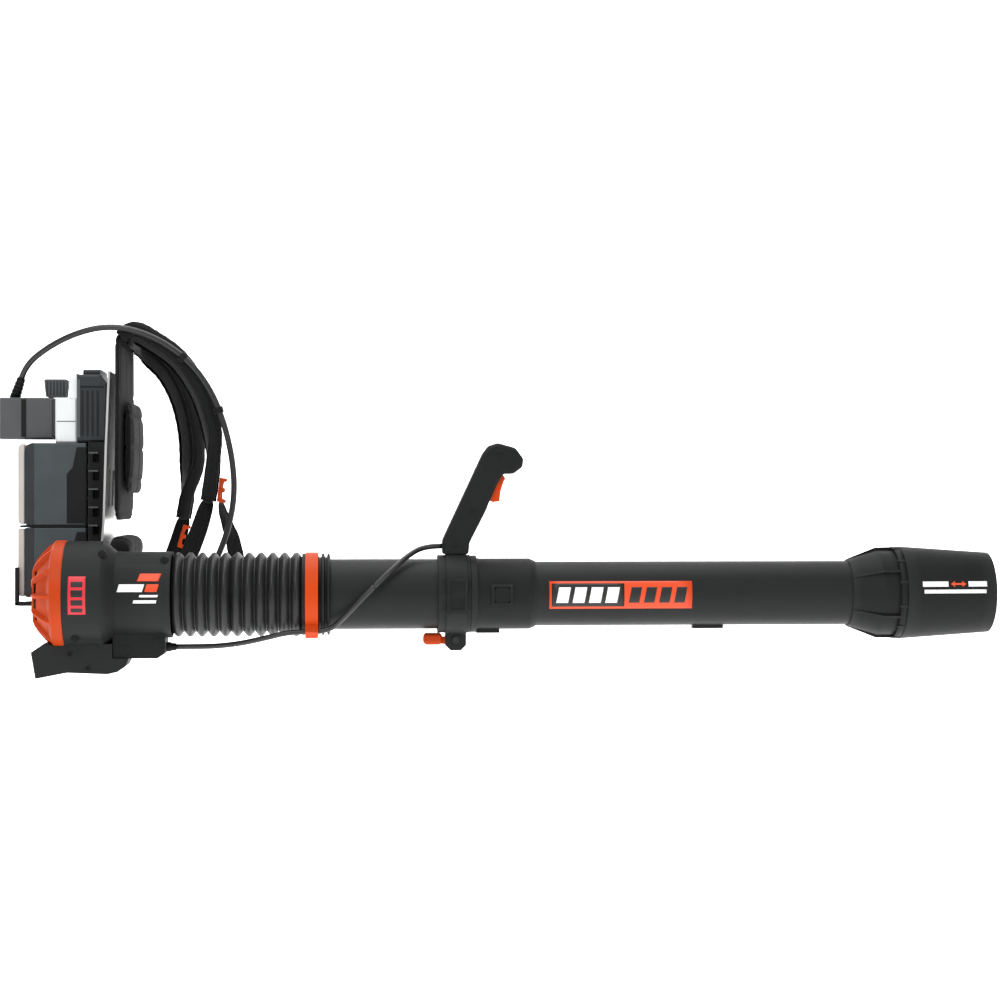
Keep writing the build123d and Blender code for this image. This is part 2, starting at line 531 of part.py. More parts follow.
def handle_shells():
    face = make_face(Polyline(*[(x, -HANDLE_HALF, z) for x, z in from_handle(HANDLE_OUTLINE)], close=True))
    face = fillet(face.vertices(), HANDLE_TIP)
    body = extrude(face, amount=2 * HANDLE_HALF, dir=(0, 1, 0))
    sides = body.faces().sort_by(Axis.Y)
    body = chamfer(sides[0].edges() + sides[-1].edges(), 0.8 * HANDLE_TIP)
    core = offset(face, amount=-WALL - 1.2, kind=Kind.INTERSECTION)
    core = Pos(0, WALL + 1.2, 0) * extrude(core, amount=2 * (HANDLE_HALF - WALL - 1.2), dir=(0, 1, 0))
    px, pz = HANDLE_X + TRIGGER_PIVOT[0], TRIGGER_PIVOT[1]
    body -= core
    for x, z in from_handle(HANDLE_SCREWS):
        body += rod_y(x, z, -HANDLE_HALF + 2, HANDLE_HALF - 2, 5)
    for side in (-1, 1):
        body += rod_y(px, pz, side * (TRIGGER_HALF + 0.8), side * (HANDLE_HALF - 2), TRIGGER_PIN_R + 3)
    body -= slab(from_handle(TRIGGER_SLOT), -TRIGGER_HALF - 0.6, TRIGGER_HALF + 0.6)
    body -= rod_y(px, pz, -HANDLE_HALF + 3.5, HANDLE_HALF - 3.5, TRIGGER_PIN_R + 0.05)
    body -= rod_x(CLAMP_X0, CLAMP_X1, YOKE_OUT)
    for x, z in from_handle(HANDLE_SCREWS):
        body -= rod_y(x, z, -HANDLE_HALF - 1, -HANDLE_HALF + 2.4, SCREW_HEAD_R)
        body -= rod_y(x, z, -HANDLE_HALF, HANDLE_HALF - 5, SCREW_R)
    return halves(body)


def handle_screws():
    screws = []
    for x, z in from_handle(HANDLE_SCREWS):
        head = rod_y(x, z, -HANDLE_HALF + 0.2, -HANDLE_HALF + 2.4, SCREW_HEAD_R)
        screws.append(head + rod_y(x, z, -HANDLE_HALF + 2.4, HANDLE_HALF - 5, SCREW_R))
    return Compound(screws)


def trigger():
    px, pz = HANDLE_X + TRIGGER_PIVOT[0], TRIGGER_PIVOT[1]
    lever = slab(from_handle(TRIGGER_OUTLINE), -TRIGGER_HALF, TRIGGER_HALF)
    return lever + rod_y(px, pz, -HANDLE_HALF + 4, HANDLE_HALF - 4, TRIGGER_PIN_R)


def trigger_switch():
    half = HANDLE_HALF - WALL - 1.2
    return block(HANDLE_X + 17, HANDLE_X + 27.5, -half, half, 124, 136)


# ---- Driving dimensions: backpack ----
FRAME_HALF = 98.0
FRAME_SHEET = 3.0
FRAME_TOP = 78.5
FRAME_LINE = [(-23.0, FRAME_TOP), (-24.5, 42.4), (-27.4, -29.8), (-30.2, -130.9), (-33.1, -167.0), (-33.1, -246.3)]
DOCK_HALF = 92.0
DOCK_X0 = -54.0
DOCK_TOP = -21.0
DOCK_FLOOR = -246.0
BATTERY_X0 = -152.0
BATTERY_TOP = -22.0
BATTERY_HEIGHTS = (114.8, 97.0)
BATTERY_GAP = 4.2
BATTERY_WIDTH = 86.0
BATTERY_SPLIT = 4.0       # between the left and the right column
RAIL_GAP = 0.4
RAIL_HALF = 20.0
RAIL_HEAD = 22.0
RAIL_FOOT = 88.0
LATCH_STROKE = 4.0
BATTERIES = [(-1, 0), (-1, 1), (1, 0), (1, 1)]     # side, row
UNIT_X0 = -71.0
UNIT_TOP = 74.6
UNIT_HALF = 84.0
HANDLE_LOOP_HALF = 48.0
FINGER_HALF = 36.0
FINGER_GAP = 16.5
BLOCK_X0 = -101.0
PLUG_Y = -45.0
PLUG_HALF = 22.0
PLUG_TOP = 42.5
BOOT_LEAN = 20.0
BOOT_TURN = 24.0
BOOT_LENGTH = 33.0
BOOT_BASE = Pos(-162, PLUG_Y, PLUG_TOP) * Rot(BOOT_TURN, BOOT_LEAN, 0)
PANEL_HALF = 118.0


def sheet_line(line):
    """The frame's bent outline as a closed strip, one sheet thick."""
    return line + [(x - FRAME_SHEET, z) for x, z in reversed(line)]


def back_frame():
    """A bent aluminium back plate with stiffening slots and a turned-out foot."""
    plate = slab(sheet_line(FRAME_LINE), -FRAME_HALF, FRAME_HALF)
    for y in (-48, 0, 48):
        for z in (-85, -195):
            plate -= block(-60, 0, y - 14, y + 14, z - 26, z + 26)
    foot = slab([(-36.1, DOCK_FLOOR - 0.3), (-30.1, -246.3), (-30.1, -250.3), (-150, -250.3), (-150, -246.6)],
                -FRAME_HALF, FRAME_HALF)
    return plate + foot


def battery_dock():
    """The rail block that the packs slide onto, with cooling louvers down both sides."""
    body = slab([(DOCK_X0, DOCK_FLOOR), (DOCK_X0, DOCK_TOP), (-30.6, DOCK_TOP), (-33.4, -131.5), (-36.3, -167.5),
                 (-36.3, DOCK_FLOOR)], -DOCK_HALF, DOCK_HALF)
    for i in range(8):
        top = -34.5 - 25.5 * i
        for side in (-1, 1):
            near, far = sorted((side * (DOCK_HALF + 1), side * (DOCK_HALF - 12)))
            body -= block(-47.5, -38.5, near, far, top - 14.5, top)
    for side, row in BATTERIES:
        top = battery_top(row)
        middle = side * (BATTERY_SPLIT + BATTERY_WIDTH) / 2
        body -= block(DOCK_X0 - 1, DOCK_X0 + 7, middle - RAIL_HALF - RAIL_GAP, middle + RAIL_HALF + RAIL_GAP,
                      top - RAIL_FOOT - RAIL_GAP, top - RAIL_HEAD + RAIL_GAP)
    return body


def battery_top(row):
    return BATTERY_TOP - row * (BATTERY_HEIGHTS[0] + BATTERY_GAP)


def battery(side, row):
    """One slide-on pack: rounded shell, latch pocket on its outer side and a rail foot."""
    top = battery_top(row)
    floor = top - BATTERY_HEIGHTS[row]
    x1 = DOCK_X0 - RAIL_GAP
    if row == 0:
        outline = [(BATTERY_X0, floor), (BATTERY_X0, top - 12), (BATTERY_X0 + 9, top), (x1, top), (x1, top - 27),
                   (x1 - 16, top - 38), (x1 - 20, top - 46), (x1 - 20, floor)]
    else:
        outline = [(BATTERY_X0, floor + 14), (BATTERY_X0, top), (x1 - 20, top), (x1 - 20, floor),
                   (BATTERY_X0 + 12, floor)]
    y0 = side * BATTERY_SPLIT / 2
    y1 = y0 + side * BATTERY_WIDTH
    y0, y1 = min(y0, y1), max(y0, y1)
    shell = slab(outline, y0, y1)
    faces = shell.faces().sort_by(Axis.Y)
    shell = chamfer(faces[0].edges() + faces[-1].edges(), 4)
    inner = block(x1 - 22, x1, y0 + 6, y1 - 6, floor + 2, top - 45 if row == 0 else top - 2)
    middle = (y0 + y1) / 2
    rail = block(x1 - 1, x1 + 6, middle - RAIL_HALF, middle + RAIL_HALF, top - RAIL_FOOT, top - RAIL_HEAD)
    pocket = latch_box(side, row, 0.5)
    return shell + inner + rail - pocket


def latch_box(side, row, grow=0.0):
    """The release button's place on a pack's outer end."""
    top = battery_top(row)
    middle = side * (BATTERY_SPLIT + BATTERY_WIDTH) / 2
    z = top - 34
    depth = LATCH_STROKE + 6 if grow else 5.0
    return block(BATTERY_X0 - 1.5 - grow, BATTERY_X0 + depth, middle - 16 - grow, middle + 16 + grow,
                 z - 9 - grow, z + 9 + grow)


def electronics_unit():
    body = slab([(UNIT_X0, DOCK_TOP + 0.5), (UNIT_X0, UNIT_TOP), (-38.5, UNIT_TOP), (-28.0, 62.0), (-28.3, 42.0),
                 (-30.4, DOCK_TOP + 0.5)], -UNIT_HALF, UNIT_HALF)
    faces = body.faces().sort_by(Axis.Y)
    body = chamfer(faces[0].edges() + faces[-1].edges(), 3)
    core = block(UNIT_X0 + WALL, -33, WALL - UNIT_HALF, UNIT_HALF - WALL, -14, 58)
    body -= core
    loop = block(-66, -42, -HANDLE_LOOP_HALF, HANDLE_LOOP_HALF, UNIT_TOP - 2, UNIT_TOP + 9)
    loop = rounded(loop, 5, loop.edges().filter_by(Axis.X))
    pocket = block(UNIT_X0 - 1, -41, -FINGER_HALF, FINGER_HALF, UNIT_TOP - FINGER_GAP, UNIT_TOP + 2)
    return body + loop - pocket


def terminal_block():
    low = block(BLOCK_X0, UNIT_X0, -80, 80, BATTERY_TOP + 0.5, 42)
    faces = low.faces().sort_by(Axis.Y)
    low = chamfer(faces[0].edges() + faces[-1].edges(), 2)
    plate = block(UNIT_X0 - 11, UNIT_X0, -80, 80, 41, UNIT_TOP + 2)
    plate -= block(UNIT_X0 - 12, UNIT_X0 + 1, -FINGER_HALF, FINGER_HALF, UNIT_TOP - FINGER_GAP, UNIT_TOP + 3)
    socket = block(BLOCK_X0 - 1, BLOCK_X0 + 12, PLUG_Y - 12, PLUG_Y + 12, 2, 26)
    return low + plate - socket


def plug_body():
    """A squared plug with a nose that seats in the terminal block."""
    body = block(-180, BLOCK_X0 - 6, PLUG_Y - PLUG_HALF, PLUG_Y + PLUG_HALF, -16, PLUG_TOP)
    body = rounded(body, 4, body.edges().filter_by(Axis.X))
    body += block(BLOCK_X0 - 8, BLOCK_X0, PLUG_Y - 19, PLUG_Y + 19, -12, 39)
    body += block(BLOCK_X0 - 1, BLOCK_X0 + 10, PLUG_Y - 11.5, PLUG_Y + 11.5, 2.5, 25.5)
    return body - block(-144.5, -143.2, PLUG_Y - 30, PLUG_Y - PLUG_HALF + 1, -17, 43)


def plug_latch():
    """The ribbed knob that holds the plug in, on a short stem."""
    knob = slab([(-117, 43.6), (-89, 43.6), (-87, 69), (-119.5, 69)], PLUG_Y - 13, PLUG_Y + 13)
    return rounded(knob, 2.5, knob.edges().filter_by(Axis.Y))


def strain_relief():
    """A ribbed boot from the plug's top, leaning towards the shoulder."""
    boot = Cylinder(7.5, 6, align=(Align.CENTER, Align.CENTER, Align.MIN))
    boot += Cone(6.2, 5.0, BOOT_LENGTH, align=(Align.CENTER, Align.CENTER, Align.MIN))
    for i in range(4):
        boot += Pos(0, 0, 9 + 6 * i) * Cylinder(7.2 - 0.35 * i, 3, align=(Align.CENTER, Align.CENTER, Align.MIN))
    return BOOT_BASE * boot - block(-180, -144, PLUG_Y - PLUG_HALF, PLUG_Y + PLUG_HALF, 20, PLUG_TOP)


# ---- Soft goods: back panel, lumbar pad, straps, belt and webbing ----
STRAP_NEAR = -106.0
STRAP_WIDTH = 50.0
STRAP_THICK = 22.0
WEB_WIDTH = 26.0
WEB_THICK = 2.6
STRAP_RIGHT = [(-9, 125), (8, 134), (34, 121.5), (70, 95), (99, 52), (116, 2), (120, -45), (112, -108)]
STRAP_LEFT = [(-9, 125), (12, 118), (42, 92), (64, 52), (76, 5), (79, -45), (73, -90), (66, -132)]
WEB_RIGHT = [(109.4, -113), (97, -150), (80, -188), (45, -226), (-8, -243), (-29.5, -243.5)]
WEB_LEFT = [(65.6, -137), (56, -170), (42, -205), (12, -233), (-15, -243), (-29.5, -243.5)]
TAIL_RIGHT = [(129, -104), (137, -130), (147, -158), (152, -186)]


def ribbon(line, thick, y0, y1):
    """A band of even thickness along a smooth line in XZ, from y0 to y1."""
    centre = Spline(*[(x, y0, z) for x, z in line])
    steps = 4 * (len(line) - 1)
    sides = []
    for shift in (thick / 2, -thick / 2):
        points = []
        for i in range(steps + 1):
            spot, along = centre @ (i / steps), centre % (i / steps)
            points.append((spot.X - shift * along.Z, y0, spot.Z + shift * along.X))
        sides.append(points)
    outer, inner = sides
    face = make_face([Spline(*outer), Line(outer[-1], inner[-1]), Spline(*inner), Line(inner[0], outer[0])])
    return extrude(face, amount=y1 - y0, dir=(0, 1, 0))


def back_panel():
    body = slab([(-20.0, -133), (-18.5, 60), (-17, 128), (-12, 133), (-6, 128), (-6, -128), (-11, -135)],
                -PANEL_HALF, PANEL_HALF)
    return body - block(-30, 0, -FRAME_HALF - 1, FRAME_HALF + 1, -300, 79) \
        + slab([(-19.0, -133), (-17.5, 79), (-6, 79), (-6, -128), (-11, -134)], -FRAME_HALF - 1, FRAME_HALF + 1)


def lumbar_pad():
    pad = slab([(-5.9, 42), (3, 36), (9, 6), (11, -44), (8, -86), (-5.9, -98)], -95, 95)
    return pad


def hip_belt():
    """The padded roll at the belt line, below the back panel."""
    roll = slab([(-26, -160), (-20, -151), (-8, -150), (4, -157), (7, -170), (0, -190), (-14, -198), (-26, -190)],
                -112, 112)
    return roll


def straps():
    right = ribbon(STRAP_RIGHT, STRAP_THICK, STRAP_NEAR, STRAP_NEAR + STRAP_WIDTH)
    left = ribbon(STRAP_LEFT, STRAP_THICK, -STRAP_NEAR - STRAP_WIDTH, -STRAP_NEAR)
    clear = block(-60, -5.7, -150, 150, -200, 200)
    return right - clear, left - clear


def webbing():
    middle = STRAP_NEAR + STRAP_WIDTH / 2
    bands = [ribbon(WEB_RIGHT, WEB_THICK, middle - WEB_WIDTH / 2, middle + WEB_WIDTH / 2),
             ribbon(WEB_LEFT, WEB_THICK, -middle - WEB_WIDTH / 2, -middle + WEB_WIDTH / 2),
             ribbon(TAIL_RIGHT, WEB_THICK, middle - WEB_WIDTH / 2, middle + WEB_WIDTH / 2)]
    return Compound(bands)


def strap_hardware():
    """Orange adjusters at the foot of each shoulder strap."""
    middle = STRAP_NEAR + STRAP_WIDTH / 2
    plate = Box(4, 34, 32)
    for z in (-7, 7):
        plate -= Pos(0, 0, z) * Box(5, 24, 9)
    return Compound([Pos(129.9, middle, -87.7) * Rot(0, 7.2, 0) * plate,
                     Pos(65.2, -middle, -155.0) * Rot(0, 16, 0) * plate])


# ---- Cords ----
BOOT_END = BOOT_BASE * Pos(0, 0, BOOT_LENGTH)
CORD_RISE = BOOT_BASE * Pos(0, 0, BOOT_LENGTH + 20)
SOCKET_END = (SOCKET_X, AXIS_Y + BOX_HALF + SOCKET_LENGTH, AXIS_Z + SOCKET_Z)
POWER_ROUTE = [tuple(BOOT_END.position), tuple(CORD_RISE.position), (-113, -84, 111), (-72, -101, 130.5),
               (-29, -110, 140.5), (14, -113, 135.5), (56, -113, 116.5), (93, -113, 87), (120, -113, 48),
               (137, -113, 4), (148, -113, -44), (151.5, -113, -93), (143, -115, -142), (126, -118, -187),
               (102, -122, -229), (74, -124, -268), (43, -126, -297), (17, -133, -314), (4, -154, -319),
               SOCKET_END]
CABLE_REAR_ROUTE = [(BELLY_X1 + 13, 0, GLAND_Z), (102, 0, GLAND_Z), (134, -8, -69), (167, -21, -64.5),
                    (200, -34.5, -56.5), (232, BRIDGE_Y, BRIDGE_Z), (RING_X0 + 8.5, BRIDGE_Y, BRIDGE_Z)]
CABLE_FRONT_ROUTE = [(RING_X0 + 8.5, BRIDGE_Y, BRIDGE_Z), (283, BRIDGE_Y, BRIDGE_Z), (305, -51, -27), (325, -56, -6),
                     (346, -55.5, 15), (367, -46, 34), (388, -27, 52), (412, 0, HANDLE_CABLE_Z),
                     (HANDLE_X - 18.2, 0, HANDLE_CABLE_Z)]


def cord_path(points):
    """Straight runs joined by tangent arcs, each as large as its two runs allow."""
    spots = [Vector(*p) for p in points]
    radii = []
    for a, b, c in zip(spots, spots[1:], spots[2:]):
        turn = math.radians((b - a).get_angle(c - b))
        radii.append(0.45 * min((b - a).length, (c - b).length) / math.tan(turn / 2))
    return FilletPolyline(*spots, radius=radii), radii


def cord_tube(name, points, r):
    path, radii = cord_path(points)
    plane = Plane(origin=path @ 0, z_dir=path % 0)
    tube = sweep(plane * Circle(r), path=path)
    print(name, "length", round(path.length, 1), "volume share", round(tube.volume / (math.pi * r * r * path.length), 4),
          "radii", [round(v, 1) for v in radii])
    return tube


def cord_ties(cord_room):
    """Two loops that hold the power cord to the side of the right shoulder strap."""
    ties = []
    for x, z, lean in [(79.0, 97.5, 38), (128.5, 23.5, 68)]:
        y1 = STRAP_NEAR - 0.2
        loop = Pos(x, (y1 - 13.5 + y1) / 2, z) * Rot(0, lean, 0) * Box(13, 13.5, 16)
        ties.append(loop - cord_room)
    return Compound(ties)


def side_dock():
    """The bracket that carries the motor housing on the pack's right side."""
    arm = block(-56, -38, -172, -DOCK_HALF, -240, -196)
    return arm - on_axis(duct_solid(0))


# ---- Write every sub-part ----
housing_right, housing_left = motor_housing()
box_right, box_left = control_box()
grip_right, grip_left = handle_shells()
strap_right, strap_left = straps()
power_cord = cord_tube("power_cord", POWER_ROUTE, CORD_R)
cord_room = sweep(Plane(origin=POWER_ROUTE[0], z_dir=cord_path(POWER_ROUTE)[0] % 0) * Circle(CORD_R + 0.3),
                  path=cord_path(POWER_ROUTE)[0])

blower = {
    "intake_grille": intake_grille(), "motor_housing_right": housing_right, "motor_housing_left": housing_left,
    "housing_screws": housing_screws(), "fan_rotor": fan_rotor(), "motor_shaft": motor_shaft(),
    "motor_stator": motor_stator(), "motor_bearings": motor_bearings(), "stator_vanes": stator_vanes(),
    "control_box_right": box_right, "control_box_left": box_left, "controller_board": controller_board(),
    "cable_glands": cable_glands(),
    "flex_hose_rear": hose_half(HOSE_X0, HOSE_RIDGES_REAR), "flex_hose_front": hose_half(HOSE_SPLIT, HOSE_RIDGES_FRONT),
    "hose_clamp_ring": hose_clamp_ring(), "hose_cuff": hose_cuff(), "rear_tube": rear_tube(),
    "tube_coupler": tube_coupler(), "lock_button": lock_button(), "front_tube": front_tube(),
    "nozzle_hub": nozzle_hub(), "nozzle_sleeve": nozzle_sleeve(), "clamp_liner": clamp_liner(),
    "clamp_upper": clamp_upper(), "clamp_lower": clamp_lower(), "cam_pin": cam_pin(), "cam_lever": cam_lever(),
    "handle_right": grip_right, "handle_left": grip_left, "handle_screws": handle_screws(), "trigger": trigger(),
    "trigger_switch": trigger_switch(),
    "control_cable_rear": cord_tube("control_cable_rear", CABLE_REAR_ROUTE, CABLE_R),
    "control_cable_front": cord_tube("control_cable_front", CABLE_FRONT_ROUTE, CABLE_R),
}
for node, shape in blower.items():
    save(node, on_axis(shape))

backpack = {
    "back_frame": back_frame(), "battery_dock": battery_dock(), "electronics_unit": electronics_unit(),
    "terminal_block": terminal_block(), "plug_body": plug_body(), "plug_latch": plug_latch(),
    "strain_relief": strain_relief(), "power_cord": power_cord, "cord_ties": cord_ties(cord_room),
    "side_dock": side_dock(), "back_panel": back_panel(), "lumbar_pad": lumbar_pad(), "hip_belt": hip_belt(),
    "strap_right": strap_right, "strap_left": strap_left, "webbing": webbing(), "strap_hardware": strap_hardware(),
}
for number, (side, row) in enumerate(BATTERIES, start=1):
    backpack[f"battery_{number}"] = battery(side, row)
    backpack[f"battery_latch_{number}"] = latch_box(side, row)
for node, shape in backpack.items():
    save(node, shape)
print(len(blower) + len(backpack), "sub-parts")
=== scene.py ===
import bmesh
import bpy
import math
from mathutils import Matrix, Vector


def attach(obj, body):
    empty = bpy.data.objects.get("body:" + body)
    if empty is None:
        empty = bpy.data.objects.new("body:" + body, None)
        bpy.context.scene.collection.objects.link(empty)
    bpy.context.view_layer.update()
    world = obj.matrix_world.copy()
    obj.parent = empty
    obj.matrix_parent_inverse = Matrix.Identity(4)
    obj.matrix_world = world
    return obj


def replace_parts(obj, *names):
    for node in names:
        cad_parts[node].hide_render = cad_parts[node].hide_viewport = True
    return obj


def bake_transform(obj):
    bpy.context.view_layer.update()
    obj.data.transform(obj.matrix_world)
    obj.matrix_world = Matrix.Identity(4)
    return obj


bl_info = {
    "name": "Backpack leaf blower",
    "version": (1, 0, 0),
    "blender": (4, 5, 0),
    "location": "3D View > Sidebar > Blower",
    "description": "Builds the visible pieces of a battery backpack leaf blower around its packed CAD model",
    "category": "Add Mesh",
}

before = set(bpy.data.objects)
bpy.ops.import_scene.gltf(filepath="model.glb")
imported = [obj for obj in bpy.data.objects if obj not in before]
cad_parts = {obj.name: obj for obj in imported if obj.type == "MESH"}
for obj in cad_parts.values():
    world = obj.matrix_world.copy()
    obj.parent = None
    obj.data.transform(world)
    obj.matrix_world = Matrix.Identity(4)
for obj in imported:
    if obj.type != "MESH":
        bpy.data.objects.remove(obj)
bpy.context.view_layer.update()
MM = 0.001
AXIS = Vector((0.0, -0.230, -0.229))      # the air line, along X
FINISH = {}              # every material by its short name, filled by the finishes operator


# ---- Colour and node helpers ----
def linear(code, alpha=1.0):
    """An sRGB hex colour as Blender's linear RGBA; a colour that is linear already passes through."""
    if not isinstance(code, str):
        return tuple(code)
    parts = [int(code[i:i + 2], 16) / 255 for i in (1, 3, 5)]
    return tuple(c / 12.92 if c <= 0.04045 else ((c + 0.055) / 1.055) ** 2.4 for c in parts) + (alpha,)


def scaled(colour, factor):
    """A lighter or darker version of a linear colour."""
    return tuple(min(1.0, c * factor) for c in colour[:3]) + (1.0,)


def add(tree, kind, inputs=None, **settings):
    """Add one node; inputs are values or the sockets that feed them."""
    made = tree.nodes.new(kind)
    for name, value in settings.items():
        setattr(made, name, value)
    for name, value in (inputs or {}).items():
        socket = live(made.inputs, name)
        if isinstance(value, bpy.types.NodeSocket):
            tree.links.new(value, socket)
        else:
            socket.default_value = value
    return made


def live(sockets, name):
    """The socket of this name that the node's settings leave in use, or the socket of this number."""
    if isinstance(name, int):
        return sockets[name]
    return next(s for s in sockets if s.name == name and s.enabled)


def per_mm(size):
    """Texture scale, in features per metre, for a feature of this many millimetres."""
    return 1.0 / (size * MM)


def start_material(name):
    """An empty node material with its output and its object-space coordinates."""
    made = bpy.data.materials.new(name)
    made.use_nodes = True
    made.node_tree.nodes.clear()
    tree = made.node_tree
    where = add(tree, "ShaderNodeTexCoord").outputs["Object"]
    return made, tree, where


def finished(made, tree, inputs):
    """Close a material with its principled shader and its output."""
    shader = add(tree, "ShaderNodeBsdfPrincipled", inputs)
    add(tree, "ShaderNodeOutputMaterial", {"Surface": shader.outputs[0]})
    return made


def noise(tree, where, size, detail=2.0):
    """Cloudy noise with features of this many millimetres."""
    made = add(tree, "ShaderNodeTexNoise", {"Vector": where, "Scale": per_mm(size), "Detail": detail})
    return made.outputs["Fac"]


def ranged(tree, value, inputs):
    """A value carried over to another range."""
    return add(tree, "ShaderNodeMapRange", {"Value": value, **inputs}).outputs["Result"]


def mixed(tree, factor, a, b):
    """A colour between two colours."""
    blend = add(tree, "ShaderNodeMix", {"Factor": factor, "A": a, "B": b}, data_type="RGBA")
    return live(blend.outputs, "Result")


def relief(tree, height, strength, distance):
    """The surface normal over this height; distance is the relief's depth in metres."""
    bump = add(tree, "ShaderNodeBump", {"Height": height, "Strength": strength, "Distance": distance})
    return bump.outputs["Normal"]


def tone(tree, where, size, low, high, detail=3.0):
    """A soft cloud between two colours, with features of this many millimetres."""
    cloud = noise(tree, where, size, detail)
    ramp = add(tree, "ShaderNodeValToRGB", {"Fac": cloud})
    ramp.color_ramp.elements[0].position, ramp.color_ramp.elements[0].color = 0.3, linear(low)
    ramp.color_ramp.elements[1].position, ramp.color_ramp.elements[1].color = 0.7, linear(high)
    return ramp.outputs["Color"], cloud


def edge_wear(tree, colour, worn, amount):
    """Lighten convex edges, where handling polishes or scuffs the surface."""
    sharp = add(tree, "ShaderNodeNewGeometry").outputs["Pointiness"]
    mask = ranged(tree, sharp, {"From Min": 0.51, "From Max": 0.56, "To Max": amount})
    return mixed(tree, mask, colour, linear(worn))


# ---- Materials: what each surface is made of, and how ----
def moulded(name, low, high, worn, roughness, grain=0.9, depth=0.06, coat=0.0, wear=0.35):
    """An injection-moulded plastic: fine spark-eroded grain, slight tone drift, paler scuffed edges."""
    made, tree, where = start_material(name)
    colour, cloud = tone(tree, where, 45.0, low, high)
    colour = edge_wear(tree, colour, worn, wear)
    rough = ranged(tree, cloud, {"To Min": roughness - 0.05, "To Max": roughness + 0.07})
    texture = add(tree, "ShaderNodeTexVoronoi", {"Vector": where, "Scale": per_mm(grain)})
    normal = relief(tree, texture.outputs["Distance"], depth * 4, 0.00025)
    return finished(made, tree, {"Base Color": colour, "Roughness": rough, "Specular IOR Level": 0.15,
                                 "Coat Weight": coat, "Normal": normal})


def corrugated_tpe():
    """Blow-moulded elastomer: deep black with a soft broad sheen and a trace of dust in the valleys."""
    made, tree, where = start_material("thermoplastic elastomer, blow moulded")
    colour, cloud = tone(tree, where, 30.0, "#141515", "#1a1b1b")
    hollow = add(tree, "ShaderNodeNewGeometry").outputs["Pointiness"]
    dust = ranged(tree, hollow, {"From Min": 0.49, "From Max": 0.44, "To Max": 0.35})
    dusty = mixed(tree, dust, colour, linear("#1a1b1a"))
    normal = relief(tree, noise(tree, where, 2.2), 0.12, 0.0004)
    rough = ranged(tree, cloud, {"To Min": 0.36, "To Max": 0.5})
    return finished(made, tree, {"Base Color": dusty, "Roughness": rough, "Specular IOR Level": 0.35,
                                 "Normal": normal})


def spacer_mesh():
    """Warp-knitted polyester: small round eyelets in staggered rows, matt, with a faint fibre sheen."""
    made, tree, where = start_material("polyester spacer mesh, warp knitted")
    eyelets = add(tree, "ShaderNodeTexVoronoi", {"Vector": where, "Scale": per_mm(3.2), "Randomness": 0.25})
    hole = ranged(tree, eyelets.outputs["Distance"], {"From Min": 0.15, "From Max": 0.42})
    height = add(tree, "ShaderNodeMath", {0: hole, 1: noise(tree, where, 0.8)}, operation="ADD")
    normal = relief(tree, height.outputs[0], 0.55, 0.0007)
    # The eyelets are coloured darker than the yarn round them: painted shade in the holes.
    colour = mixed(tree, hole, linear("#030304"), linear("#0e0f10"))
    return finished(made, tree, {"Base Color": colour, "Roughness": 0.88, "Specular IOR Level": 0.15,
                                 "Sheen Weight": 0.08, "Sheen Roughness": 0.5, "Normal": normal})


def woven(name, dark, light, pitch, roughness):
    """A flat woven polyester: crossing yarns at their real spacing, drawn coarse enough to show."""
    made, tree, where = start_material(name)
    yarn = []
    for axis in ("X", "Y", "Z"):
        band = add(tree, "ShaderNodeTexWave", {"Vector": where, "Scale": per_mm(pitch) / 6.2832 * 2,
                                               "Distortion": 0.4}, bands_direction=axis)
        yarn.append(band.outputs["Fac"])
    cross = add(tree, "ShaderNodeMath", {0: yarn[0], 1: yarn[2]}, operation="MULTIPLY")
    height = add(tree, "ShaderNodeMath", {0: cross.outputs[0], 1: yarn[1]}, operation="ADD")
    normal = relief(tree, height.outputs[0], 0.5, 0.0005)
    colour = mixed(tree, height.outputs[0], linear(dark), linear(light))
    return finished(made, tree, {"Base Color": colour, "Roughness": roughness, "Specular IOR Level": 0.2,
                                 "Sheen Weight": 0.05, "Sheen Roughness": 0.4, "Normal": normal})


def metal(name, code, roughness, grain, stretch):
    """A bare or plated metal with fine directional grain."""
    made, tree, where = start_material(name)
    long = add(tree, "ShaderNodeMapping", {"Vector": where, "Scale": stretch})
    lines = noise(tree, long.outputs["Vector"], grain, 4.0)
    rough = ranged(tree, lines, {"To Min": roughness - 0.08, "To Max": roughness + 0.12})
    normal = relief(tree, lines, 0.15, 0.0002)
    return finished(made, tree, {"Base Color": linear(code), "Metallic": 1.0, "Roughness": rough,
                                 "Normal": normal})


def cord_jacket():
    """Extruded rubber-like PVC: semi-matt black with a clear line of light along it."""
    made, tree, where = start_material("polyvinyl chloride, extruded jacket")
    colour = tone(tree, where, 12.0, "#101112", "#181919")[0]
    normal = relief(tree, noise(tree, where, 1.0), 0.1, 0.0003)
    return finished(made, tree, {"Base Color": colour, "Roughness": 0.38, "IOR": 1.53, "Normal": normal})


def printed_film(name, code):
    """A screen-printed vinyl film: even ink with a soft satin surface."""
    made, tree, where = start_material(name)
    grain = noise(tree, where, 0.7)
    normal = relief(tree, grain, 0.05, 0.0002)
    rough = ranged(tree, grain, {"To Min": 0.36, "To Max": 0.48})
    return finished(made, tree, {"Base Color": linear(code), "Roughness": rough, "Normal": normal})


